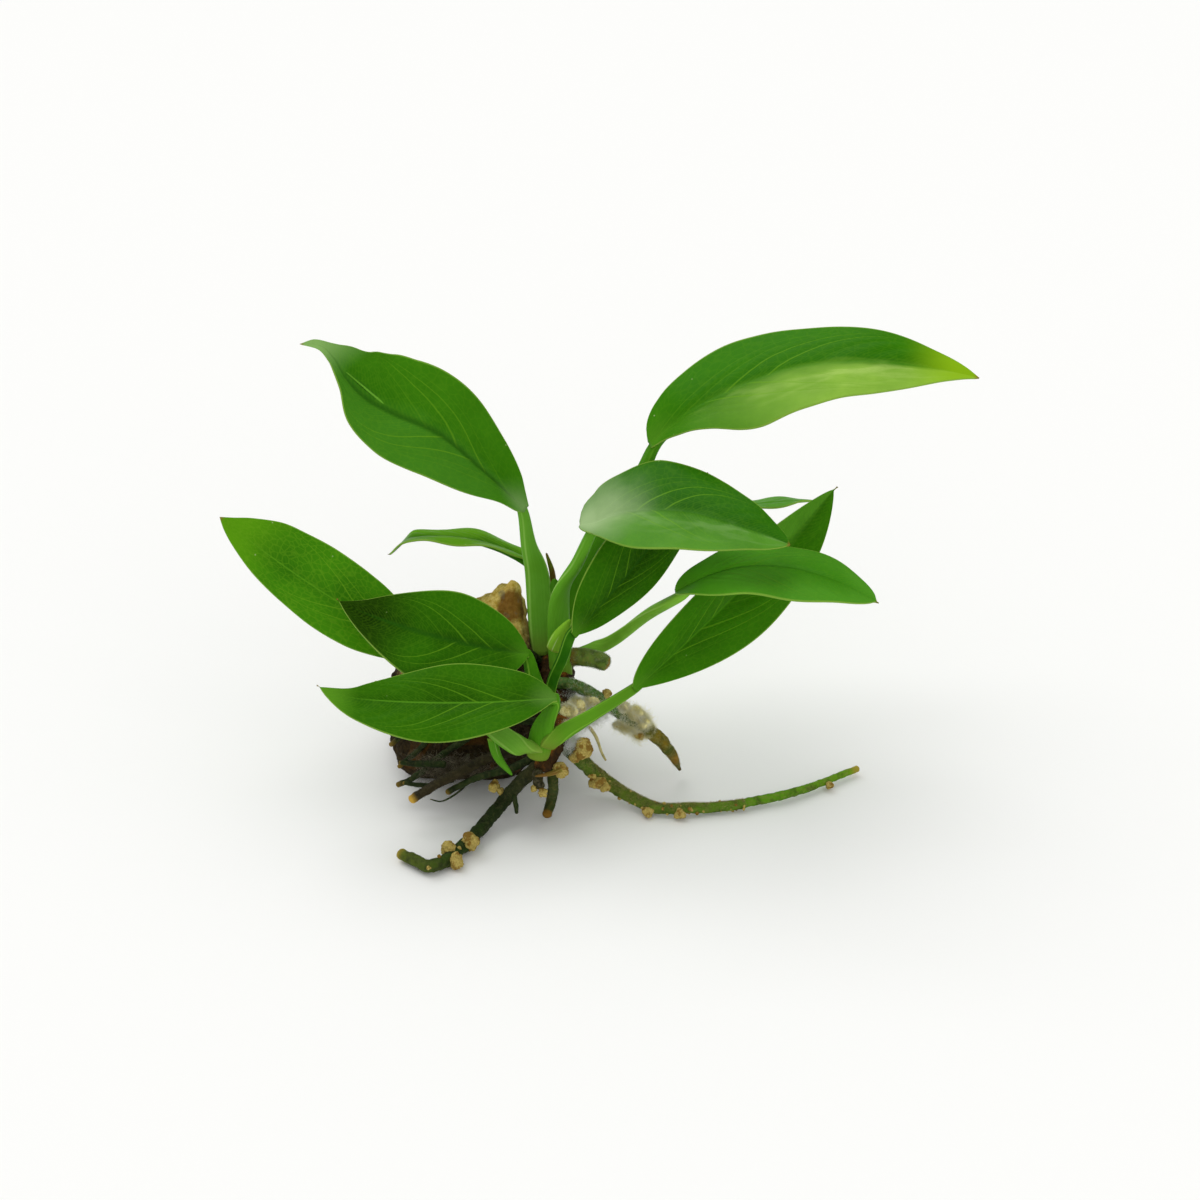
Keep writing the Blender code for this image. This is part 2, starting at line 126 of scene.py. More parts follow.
def frames_along(
    route: np.ndarray, side: np.ndarray | None = None
) -> tuple[np.ndarray, np.ndarray, np.ndarray]:
    """Carries a side direction along a route without twisting it.

    Args:
        route: Points along the route.
        side: The sideways direction wanted at the route's last point, or None for any.

    Returns:
        Tangents, sideways directions and the directions square to both, one row a point.
    """
    ways = directions(route)
    current = np.array(side if side is not None else (0.3, 0.2, 1.0), float)
    if side is None and abs(ways[-1] @ current) > 0.9:
        current = np.array((1.0, 0.0, 0.0))
    sides = np.zeros_like(ways)
    for i in range(len(ways) - 1, -1, -1):
        current = current - (current @ ways[i]) * ways[i]
        current = current / np.linalg.norm(current)
        sides[i] = current
    return ways, sides, np.cross(ways, sides)


def select_only(obj: bpy.types.Object) -> None:
    """Makes one object the selected and active one.

    Args:
        obj: The object.
    """
    bpy.ops.object.select_all(action="DESELECT")
    obj.select_set(True)
    bpy.context.view_layer.objects.active = obj


def edit_mesh(obj: bpy.types.Object, *steps: Callable[[], object]) -> None:
    """Runs operators in edit mode with all of a mesh selected.

    Args:
        obj: The mesh object.
        steps: Calls made in edit mode, in order.
    """
    select_only(obj)
    bpy.ops.object.mode_set(mode="EDIT")
    bpy.ops.mesh.select_all(action="SELECT")
    for step in steps:
        step()
    bpy.ops.object.mode_set(mode="OBJECT")


def vertex_places(mesh: bpy.types.Mesh) -> np.ndarray:
    """The vertices' places, one row each.

    Args:
        mesh: The mesh to read.

    Returns:
        Their places, in metres.
    """
    places = np.empty(len(mesh.vertices) * 3, np.float32)
    mesh.vertices.foreach_get("co", places)
    return places.reshape(-1, 3).astype(float)


def move_vertices(mesh: bpy.types.Mesh, places: np.ndarray) -> None:
    """Puts the vertices at new places, given in millimetres."""
    mesh.vertices.foreach_set("co", (places * MM).astype(np.float32).ravel())
    mesh.update()


def unit_sheet(name: str, along: int, across: int) -> tuple[bpy.types.Object, np.ndarray, np.ndarray]:
    """A grid primitive, with its UV map, ready to be shaped.

    Args:
        name: Name of the object.
        along: Faces in the first direction.
        across: Faces in the second.

    Returns:
        The object, and for each vertex its share along and across, from 0 to 1.
    """
    bpy.ops.object.select_all(action="DESELECT")
    bpy.ops.mesh.primitive_grid_add(x_subdivisions=along, y_subdivisions=across, size=2, location=(0, 0, 0))
    obj = bpy.context.object
    obj.name = name
    obj.data.name = name
    places = vertex_places(obj.data)
    return obj, (places[:, 0] + 1) / 2, (places[:, 1] + 1) / 2


def sew(obj: bpy.types.Object) -> None:
    """Merges the vertices that meet, and turns the faces outwards."""
    edit_mesh(obj, lambda: bpy.ops.mesh.remove_doubles(threshold=0.0004 * MM))
    edit_mesh(obj, lambda: bpy.ops.mesh.normals_make_consistent(inside=False))


def finish_piece(
    obj: bpy.types.Object, materials: Sequence[bpy.types.Material], slot: str, *nodes: str
) -> None:
    """Dresses a piece, parents it to the root body and hides the CAD parts it replaces.

    Args:
        obj: The finished mesh object.
        materials: Its materials, in slot order.
        slot: Not used.
        nodes: The CAD nodes that it stands for.
    """
    for made in materials:
        obj.data.materials.append(made)
    select_only(obj)
    bpy.ops.object.shade_smooth()
    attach(obj, "root")
    if nodes:
        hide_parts(*nodes)
    LOG.info("%s: %d vertices", obj.name, len(obj.data.vertices))


class Graph:
    """A material's node tree, built one node at a time."""

    def __init__(self, name: str) -> None:
        """Starts a Principled material of that name.

        Args:
            name: Name of the material.
        """
        self.material = bpy.data.materials.new(name)
        self.material.use_nodes = True
        self.tree = self.material.node_tree
        self.shader = self.tree.nodes["Principled BSDF"]

    def add(
        self, kind: str, inputs: dict, out: int | str = 0, ramp: Sequence = (), **settings: object
    ) -> Socket:
        """Adds a node with its settings and links.

        Args:
            kind: The node's type.
            inputs: Input name or number to a value or to another node's output.
            out: Which output to return.
            ramp: For a colour ramp, its stops as (place, hex colour).
            settings: Properties of the node.

        Returns:
            The output socket.
        """
        made = self.tree.nodes.new(kind)
        for name, value in settings.items():
            setattr(made, name, value)
        for key, value in inputs.items():
            if isinstance(value, Socket):
                self.tree.links.new(value, made.inputs[key])
            else:
                made.inputs[key].default_value = value
        if ramp:
            stops = made.color_ramp.elements
            (stops[0].position, first), (stops[1].position, last) = ramp[0], ramp[-1]
            stops[0].color, stops[1].color = srgb(first), srgb(last)
            for place, code in ramp[1:-1]:
                stops.new(place).color = srgb(code)
        return made.outputs[out]

    def calculate(self, operation: str, *values: object) -> Socket:
        """The result of a Math node."""
        return self.add(MATH, dict(enumerate(values)), operation=operation)

    def times(self, first: object, second: object) -> Socket:
        """The product of two values."""
        return self.calculate("MULTIPLY", first, second)

    def times_plus(self, first: object, second: object, third: object) -> Socket:
        """The product of the first two values, plus the third."""
        return self.calculate("MULTIPLY_ADD", first, second, third)

    def remap(self, value: object, low: float, high: float, first: float, last: float) -> Socket:
        """Runs evenly from first at low to last at high, and stays level outside."""
        return self.add(RANGE, {0: value, 1: low, 2: high, 3: first, 4: last})

    def ease(self, value: object, low: float, high: float, first: float, last: float) -> Socket:
        """Like remap, but starts and ends gently."""
        ends = {0: value, 1: low, 2: high, 3: first, 4: last}
        return self.add(RANGE, ends, interpolation_type="SMOOTHSTEP")

    def mottle(
        self, place: object, size: float, detail: float, roughness: float = 0.5, distortion: float = 0.0
    ) -> Socket:
        """Cloudy noise with blotches of a given size.

        Args:
            place: Object coordinates.
            size: Millimetres across a blotch.
            detail: How many finer octaves it has.
            roughness: How strong the finer octaves are.
            distortion: How far the blotches are pulled about.

        Returns:
            The noise, mostly between 0.3 and 0.7.
        """
        inputs = {"Vector": place, "Scale": 1 / (size * MM), "Detail": detail}
        return self.add(NOISE, {**inputs, "Roughness": roughness, "Distortion": distortion})

    def cells(self, place: object, size: float) -> Socket:
        """Distance to the middle of the nearest cell, for cells of so many millimetres."""
        return self.add(VORONOI, {"Vector": place, "Scale": 1 / (size * MM)}, "Distance")

    def distance(self, place: object, centre: Point) -> Socket:
        """Metres from a centre that is given in millimetres."""
        spot = tuple(value * MM for value in centre)
        return self.add("ShaderNodeVectorMath", {0: place, 1: spot}, "Value", operation="DISTANCE")

    def stretched(self, along: float, across: float) -> Socket:
        """The piece's UV map, with room for so many blotches along it and across it."""
        return self.add(MAPPING, {0: self.add(COORD, {}, "UV"), 3: (along, across, 1.0)})

    def shade(self, **values: object) -> bpy.types.Material:
        """Sets or links the shader's sockets.

        Args:
            values: A value or an output for each socket, named with underscores for spaces.

        Returns:
            The material.
        """
        for name, value in values.items():
            socket = self.shader.inputs[name.replace("_", " ")]
            if isinstance(value, Socket):
                self.tree.links.new(value, socket)
            else:
                socket.default_value = value
        return self.material

    def blend(self, factor: object, first: object, second: object) -> Socket:
        """A colour between two others; each may be a hex string or an output."""
        pair = [srgb(c) if isinstance(c, str) else c for c in (first, second)]
        return self.add(MIX, {0: factor, 6: pair[0], 7: pair[1]}, 2, data_type="RGBA")


# ---------------------------------------------------------------- finishes


SIDE_SHIFT = 0.47  # how far the right half's veins are out of step with the left half's


@dataclass(frozen=True)
class LeafMap:
    """Where a point lies on a leaf, as outputs in the leaf's node tree."""

    graph: Graph
    place: Socket
    along: Socket  # 0 at the neck, 1 at the tip
    cross: Socket  # 0 at the left margin, 1 at the right
    away: Socket  # 0 on the midrib, 1 at the margin
    broad: Socket  # slow clouds


@dataclass(frozen=True)
class LeafFinish:
    """Living leaf: a waxy cuticle over green tissue, with sunken or pale veins and a thin pale margin."""

    name: str
    green: str = "#3a7d08"
    shade: str = "#265c02"
    vein: str = "#6fa51e"
    # midrib: the stripe over the midrib: painted shade of its groove where darker than the blade, the
    # vein's own colour where lighter
    midrib: str = "#24580a"
    margin: str = "#8fb545"
    # neck: a paler tone at the blade's base: the stem's green running in, and on centre, tall_left and
    # front_left a painted sheen
    neck: str = "#5a9420"
    neck_reach: float = 0.08
    neck_strength: float = 0.6
    painted_light: str = "#4e8d12"  # painted light: a paler tone laid on the lit part of the leaf
    painted_light_from: tuple[float, float] = (0.0, 0.0)  # share along at which the painted light starts and is full
    painted_light_side: float = 0.5  # 0 for the left margin, 1 for the right, 0.5 for both
    painted_light_strength: float = 0.0
    midrib_width: float = 0.10
    midrib_strength: float = 0.7
    sheen_streaks: str = "#9cc07c"  # painted sheen: pale streaks on the part with painted light
    sheen_streaks_strength: float = 0.0
    groove: float = 0.28  # depth of the furrow over the midrib, in millimetres
    # tip_tone: the tip's colour: painted shadow on shaded_left, painted light on tall_right, the leaf's own
    # colour elsewhere
    tip_tone: str = "#4e8d12"
    tip_reach: float = 0.0  # share of the leaf that takes the tip's tone
    dry_point: str = "#8a6a2a"
    speck: str = "#b9c48c"
    veins: float = 7.5  # main veins on each side
    vein_strength: float = 0.55
    net_strength: float = 0.10
    roughness: float = 0.36
    gloss: float = 0.05

    def material(self) -> bpy.types.Material:
        """The upper side. Veins leave the midrib at a slant and sweep to the tip, so the eye reads a
        real leaf: pale lines between darker, faintly quilted strips, and a broad soft gloss.

        Returns:
            The material.
        """
        g = Graph(f"leaf_waxy_{self.name}")
        uv = g.add(SPLIT, {0: g.add(COORD, {}, "UV")}, 0).node
        along, cross = uv.outputs[0], uv.outputs[1]
        place = g.add(COORD, {}, "Object")
        away = g.calculate("ABSOLUTE", g.times_plus(cross, 2.0, -1.0))
        leaf = LeafMap(g, place, along, cross, away, g.mottle(place, 13.33, 3.0))
        line, fine = self.side_veins(leaf)
        colour = self.tissue(leaf)
        # painted light on part of the leaf
        if self.painted_light_strength:
            colour = self.sunlit(leaf, colour)
        if self.tip_reach:
            far = g.ease(along, 1 - self.tip_reach, 1 - 0.25 * self.tip_reach, 0.0, 0.85)
            colour = g.blend(far, colour, self.tip_tone)
        colour = self.veined(leaf, colour, line, fine)
        colour = self.edged(leaf, colour)
        colour = self.specked(leaf, colour)
        grain = g.mottle(place, 0.3846, 2.0)
        relief = g.times_plus(line, 0.6, g.times(grain, 0.12))
        relief = g.times_plus(fine, 0.10, relief)
        bump = g.add(BUMP, {"Strength": 0.35, "Distance": 0.2 * MM, "Height": relief})
        rough = g.remap(leaf.broad, 0.3, 0.7, self.roughness - 0.05, self.roughness + 0.07)
        return g.shade(Base_Color=colour, Roughness=rough, Normal=bump, IOR=1.45,
                       Specular_IOR_Level=self.gloss)

    def side_veins(self, leaf: LeafMap) -> tuple[Socket, Socket]:
        """The veins that leave the midrib and sweep to the tip.

        Args:
            leaf: The places on the leaf.

        Returns:
            The main veins' strength, and the place between two fine veins.
        """
        g = leaf.graph
        off = g.times_plus(g.mottle(leaf.place, 5.882, 2.0), 0.022, -0.011)
        inner = g.calculate("SUBTRACT", 1.0, leaf.away)
        root = g.calculate("POWER", g.calculate("MAXIMUM", inner, 0.004), 0.5)
        left = g.calculate("SUBTRACT", 1.0, leaf.along)
        phase = g.calculate("SUBTRACT", 1.0, g.calculate("DIVIDE", left, root))
        phase = g.calculate("ADD", phase, off)
        count = g.times(phase, self.veins)
        right_half = g.calculate("GREATER_THAN", leaf.cross, 0.5)
        count = g.times_plus(right_half, SIDE_SHIFT, count)
        line = g.ease(g.calculate("PINGPONG", count, 0.5), 0.012, 0.075, 1.0, 0.0)
        which = g.calculate("FLOOR", g.calculate("ADD", count, 0.5))
        luck = g.add("ShaderNodeTexWhiteNoise", {"W": which}, 0, noise_dimensions="1D")
        born = g.remap(phase, -0.06, 0.02, 0.0, 1.0)
        late = g.ease(phase, 0.45, 0.62, 1.0, 0.0)
        faint = g.remap(luck, 0.0, 1.0, 0.25, 1.0)
        fading = g.remap(leaf.away, 0.75, 1.0, 1.0, 0.25)
        for share in (faint, born, late, fading):
            line = g.times(line, share)
        return line, g.calculate("PINGPONG", g.times(phase, 55.0), 0.5)

    def tissue(self, leaf: LeafMap) -> Socket:
        """The leaf's green, darker in slow clouds, and darker beside the midrib as painted shade of its
        groove.

        Args:
            leaf: The places on the leaf.

        Returns:
            The colour.
        """
        g = leaf.graph
        patch = g.ease(leaf.broad, 0.36, 0.64, 0.0, 1.0)
        # painted shade: darker beside the midrib, in its groove
        edge_light = g.remap(leaf.away, 0.05, 0.75, 0.15, 0.75)
        return g.blend(g.times_plus(patch, 0.45, edge_light), self.shade, self.green)

    def sunlit(self, leaf: LeafMap, colour: Socket) -> Socket:
        """Lays painted light, a paler tone, over part of the leaf, with painted sheen streaks on it.

        Args:
            leaf: The places on the leaf.
            colour: The colour so far.

        Returns:
            The colour with the painted light.
        """
        g = leaf.graph
        lit = g.ease(leaf.along, *self.painted_light_from, 0.0, 1.0)
        if self.painted_light_side != 0.5:
            ends = (0.64, 0.44) if self.painted_light_side < 0.5 else (0.42, 0.64)
            brushed = {"Vector": g.stretched(6.0, 9.0), "Scale": 1.0, "Detail": 3.0, "Distortion": 0.5}
            ragged = g.times_plus(g.add(NOISE, brushed), 0.22, g.calculate("SUBTRACT", leaf.cross, 0.11))
            lit = g.times(lit, g.ease(ragged, *ends, 0.0, 1.0))
        lit = g.times(lit, g.remap(leaf.broad, 0.3, 0.7, 0.55, 1.0))
        lit = g.times(lit, self.painted_light_strength)
        # painted light: the paler tone where the leaf looks lit
        colour = g.blend(lit, colour, self.painted_light)
        # painted sheen: pale streaks, strongest near the midrib
        streaks = {"Vector": g.stretched(5.0, 7.0), "Scale": 1.0, "Detail": 4.0, "Distortion": 0.7}
        painted_sheen = g.ease(g.add(NOISE, streaks), 0.46, 0.64, 0.0, self.sheen_streaks_strength)
        inward = g.remap(leaf.away, 0.1, 0.8, 1.0, 0.1)
        return g.blend(g.times(g.times(painted_sheen, lit), inward), colour, self.sheen_streaks)

    def veined(self, leaf: LeafMap, colour: Socket, line: Socket, fine: Socket) -> Socket:
        """Draws the net of small veins, the side veins and the midrib.

        Args:
            leaf: The places on the leaf.
            colour: The colour so far.
            line: The main veins' strength.
            fine: The place between two fine veins.

        Returns:
            The colour with the veins.
        """
        g = leaf.graph
        cells = {"Vector": g.stretched(34.0, 15.0), "Scale": 1.0, "Randomness": 0.9}
        net = g.add(VORONOI, cells, "Distance", feature="DISTANCE_TO_EDGE")
        colour = g.blend(g.remap(net, 0.0, 0.10, self.net_strength, 0.0), colour, self.vein)
        colour = g.blend(g.remap(fine, 0.0, 0.5, 0.10, 0.0), colour, self.vein)
        colour = g.blend(g.times(line, self.vein_strength), colour, self.vein)
        # the midrib stripe: painted shade of the groove on the leaves whose midrib colour is darker than
        # the blade
        rib = g.ease(leaf.away, 0.0, self.midrib_width, self.midrib_strength, 0.0)
        rib = g.times(rib, g.remap(leaf.along, 0.75, 0.97, 1.0, 0.0))
        return g.blend(rib, colour, self.midrib)

    def edged(self, leaf: LeafMap, colour: Socket) -> Socket:
        """Colours the neck, the thin margin and the dry point of the tip. The neck's tone is painted sheen
        on the leaves where it is pale.

        Args:
            leaf: The places on the leaf.
            colour: The colour so far.

        Returns:
            The colour with its edges.
        """
        g = leaf.graph
        # the neck's tone, painted sheen on the leaves where it is pale
        reach = g.times_plus(leaf.broad, self.neck_reach * 1.2, leaf.along)
        reach = g.times_plus(leaf.away, self.neck_reach * 0.9, reach)
        base = g.ease(reach, self.neck_reach * 0.6, self.neck_reach * 2.6, self.neck_strength, 0.0)
        colour = g.blend(base, colour, self.neck)
        colour = g.blend(g.ease(leaf.away, 0.965, 0.995, 0.0, 0.7), colour, self.margin)
        return g.blend(g.ease(leaf.along, 0.98, 0.998, 0.0, 0.8), colour, self.dry_point)

    def specked(self, leaf: LeafMap, colour: Socket) -> Socket:
        """Scatters a few pale specks of lime.

        Args:
            leaf: The places on the leaf.
            colour: The colour so far.

        Returns:
            The colour with the specks.
        """
        g = leaf.graph
        rare = g.remap(g.mottle(leaf.place, 4.167, 0.0), 0.64, 0.68, 0.0, 1.0)
        speck = g.times(g.remap(g.cells(leaf.place, 3.333), 0.04, 0.08, 0.6, 0.0), rare)
        return g.blend(speck, colour, self.speck)


@dataclass(frozen=True)
class UndersideFinish:
    """The duller lower side of a leaf, where the cuticle is thin and the tissue full of air."""

    name: str = "leaf_underside"

    def material(self) -> bpy.types.Material:
        """Paler and more matt than the upper side, with faint veins.

        Returns:
            The material.
        """
        g = Graph(self.name)
        cloud = g.mottle(g.add(COORD, {}, "Object"), 8.333, 3.0)
        colour = g.blend(cloud, "#5f9a2c", "#86b352")
        uv = g.stretched(1.0, 26.0)
        waves = {"Vector": uv, "Scale": 1.0, "Distortion": 0.6}
        lines = g.add("ShaderNodeTexWave", waves, 1, bands_direction="Y")
        lines = g.remap(lines, 0.6, 1.0, 0.0, 0.35)
        colour = g.blend(lines, colour, "#c3d9a0")
        return g.shade(Base_Color=colour, Roughness=0.5, IOR=1.4, Specular_IOR_Level=0.3)


@dataclass(frozen=True)
class StemFinish:
    """Petiole tissue: smooth, paler than the blade, with pale lips where its base sheathes the stem."""

    name: str
    green: str = "#3f7f0a"
    foot: str = "#2f6a05"
    lip: str = "#86b93c"
    lips_end: float = 0.4

    def material(self) -> bpy.types.Material:
        """Length-wise streaks and pale edges tell the eye that the stem is fleshy and grooved.

        Returns:
            The material.
        """
        g = Graph(f"petiole_{self.name}")
        uv = g.add(SPLIT, {0: g.add(COORD, {}, "UV")}, 0).node
        along, around = uv.outputs[0], uv.outputs[1]
        place = g.add(COORD, {}, "Object")
        streak_at = g.stretched(3.0, 40.0)
        streak = g.add(NOISE, {"Vector": streak_at, "Scale": 1.0, "Detail": 3.0})
        colour = g.blend(streak, self.foot, self.green)
        cloud = g.mottle(place, 6.25, 2.0)
        colour = g.blend(g.remap(cloud, 0.45, 0.75, 0.0, 0.45), colour, "#5c9a1c")
        lips = []
        for angle in (0.09, 0.41):
            near = g.calculate("SUBTRACT", around, angle)
            near = g.calculate("ABSOLUTE", near)
            lips.append(g.ease(near, 0.004, 0.035, 1.0, 0.0))
        lip = g.calculate("MAXIMUM", lips[0], lips[1])
        open_part = g.remap(along, self.lips_end - 0.12, self.lips_end + 0.1, 0.6, 0.0)
        colour = g.blend(g.times(lip, open_part), colour, self.lip)
        foot = g.ease(along, 0.0, 0.10, 0.5, 0.0)
        colour = g.blend(foot, colour, "#8a8f3a")
        grain = g.add(NOISE, {"Vector": streak_at, "Scale": 2.2, "Detail": 3.0})
        bump = g.add(BUMP, {"Strength": 0.25, "Distance": 0.0003, "Height": grain})
        return g.shade(Base_Color=colour, Roughness=0.45, Normal=bump, IOR=1.42, Specular_IOR_Level=0.05)


@dataclass(frozen=True)
class RootFinish:
    """Fleshy root skin: dull, mottled with algae and silt, and ochre where it was cut or grows."""

    name: str
    skin: str = "#33440f"
    dark: str = "#1b2607"
    silt: str = "#6d6430"
    tip: str = "#b08a2e"
    tip_from: float = 0.95
    silt_amount: float = 0.4
    zones: tuple = ()  # (share along, colour), where the skin changes along the root

    def material(self) -> bpy.types.Material:
        """Dark green-brown blotches at 1 to 3 mm, a grainy matt skin and a pale tip.

        Returns:
            The material.
        """
        g = Graph(f"root_{self.name}")
        along = g.add(SPLIT, {0: g.add(COORD, {}, "UV")}, 0)
        place = g.add(COORD, {}, "Object")
        blotch = g.mottle(place, 2.381, 5.0, 0.6)
        skin = g.add(RAMP, {0: along}, ramp=self.zones) if self.zones else self.skin
        colour = g.blend(g.remap(blotch, 0.30, 0.55, 0.2, 1.0), self.dark, skin)
        dust = g.mottle(place, 0.9091, 4.0, 0.7)
        dust = g.remap(dust, 0.48, 0.62, 0.0, self.silt_amount)
        colour = g.blend(dust, colour, self.silt)
        end = g.ease(along, self.tip_from, min(self.tip_from + 0.05, 0.995), 0.0, 1.0)
        end = g.times(end, g.remap(blotch, 0.3, 0.6, 0.75, 1.0))
        colour = g.blend(end, colour, self.tip)
        bump = g.add(BUMP, {"Strength": 0.6, "Distance": 0.0003, "Height": dust})
        return g.shade(Base_Color=colour, Roughness=0.78, Normal=bump, Specular_IOR_Level=0.25)


@dataclass(frozen=True)
class MottledFinish:
    """Rough natural matter in two tones with a third in patches: rhizome bark, crumbs, stone."""

    name: str
    low: str
    high: str
    patch: str
    patch_size: float  # millimetres across a patch
    grain_size: float  # millimetres across a grain
    patch_share: float = 0.45
    relief: float = 0.4  # millimetres
    roughness: float = 0.88

    def material(self) -> bpy.types.Material:
        """Grain over blotches, so the surface looks broken and dusty and takes no shine.

        Returns:
            The material.
        """
        g = Graph(self.name)
        place = g.add(COORD, {}, "Object")
        grain = g.mottle(place, self.grain_size, 5.0, 0.7)
        blotch = g.mottle(place, self.patch_size, 4.0, 0.6)
        colour = g.blend(g.remap(grain, 0.32, 0.68, 0.0, 1.0), self.low, self.high)
        middle = 0.62 - 0.24 * self.patch_share
        where = g.ease(blotch, middle - 0.05, middle + 0.05, 0.0, 0.85)
        colour = g.blend(where, colour, self.patch)
        pits = g.cells(place, self.grain_size)
        height = g.times_plus(pits, 0.5, grain)
        bump = g.add(BUMP, {"Strength": 0.7, "Distance": self.relief * MM, "Height": height})
        return g.shade(Base_Color=colour, Roughness=self.roughness, Normal=bump, Specular_IOR_Level=0.2)


@dataclass(frozen=True)
class HairFinish:
    """Root hairs: colourless threads that catch silt, so a mat of them reads as a pale haze."""

    name: str
    root: str
    end: str

    def material(self) -> bpy.types.Material:
        """Two tones that change over about 2 mm, fully matt.

        Returns:
            The material.
        """
        g = Graph(self.name)
        cloud = g.mottle(g.add(COORD, {}, "Object"), 2.083, 3.0)
        colour = g.blend(g.remap(cloud, 0.38, 0.62, 0.0, 1.0), self.root, self.end)
        return g.shade(Base_Color=colour, Roughness=0.9, Specular_IOR_Level=0.1)


@dataclass(frozen=True)
class StoneFinish:
    """Porous ochre stone with a brown stain, dark brown below its top as painted shade over the stone's own
    brown, rust in patches, and a film of silt.
    """

    name: str = "stone_porous_ochre"
    stain_at: Point = (8.5, 1.8, 42.5)  # middle of the brown stain, in millimetres
    bare_at: Point = (-21.5, -5, 25.5)  # middle of the patch where the ochre shows low down

    def material(self) -> bpy.types.Material:
        """Ochre on top, dark brown below as painted shade over the stone's own brown, with pits from 0.5 mm
        to 3 mm.

        Returns:
            The material.
        """
        g = Graph(self.name)
        place = g.add(COORD, {}, "Object")
        split = g.add(SPLIT, {0: place}, 0).node
        grain = g.mottle(place, 1.111, 6.0, 0.7)
        blotch = g.mottle(place, 7.692, 5.0, 0.6)
        rust = g.mottle(place, 10.53, 4.0, 0.55, 0.6)
        ochre = g.blend(g.remap(grain, 0.35, 0.65, 0.0, 1.0), "#b8942c", "#ead27c")
        # painted shade: the dark brown of the stone's shadowed front and sides, below the top
        brown = g.blend(g.remap(grain, 0.35, 0.65, 0.0, 1.0), "#1a1408", "#40331a")
        height = g.times_plus(blotch, 0.022, split.outputs[2])
        top = g.ease(height, 0.041, 0.053, 0.0, 1.0)
        colour = g.blend(top, brown, ochre)
        where = g.ease(rust, 0.57, 0.66, 0.0, 0.6)
        colour = g.blend(where, colour, "#5c3a0c")
        far = g.distance(place, self.stain_at)
        far = g.times_plus(blotch, 0.009, far)
        stain = g.ease(far, 0.0078, 0.0098, 0.92, 0.0)
        colour = g.blend(stain, colour, g.blend(grain, "#50300a", "#94661c"))
        side = g.distance(place, self.bare_at)
        side = g.times_plus(blotch, 0.009, side)
        bare = g.ease(side, 0.0085, 0.0115, 0.9, 0.0)
        colour = g.blend(bare, colour, ochre)
        silt = g.remap(g.mottle(place, 3.226, 5.0), 0.58, 0.68, 0.0, 0.55)
        colour = g.blend(silt, colour, "#6d6a55")
        pits = g.cells(place, 1.429)
        relief = g.times_plus(pits, 0.6, grain)
        bump = g.add(BUMP, {"Strength": 0.8, "Distance": 0.0005, "Height": relief})
        return g.shade(Base_Color=colour, Roughness=0.92, Normal=bump, Specular_IOR_Level=0.2)


# ---------------------------------------------------------------- leaves


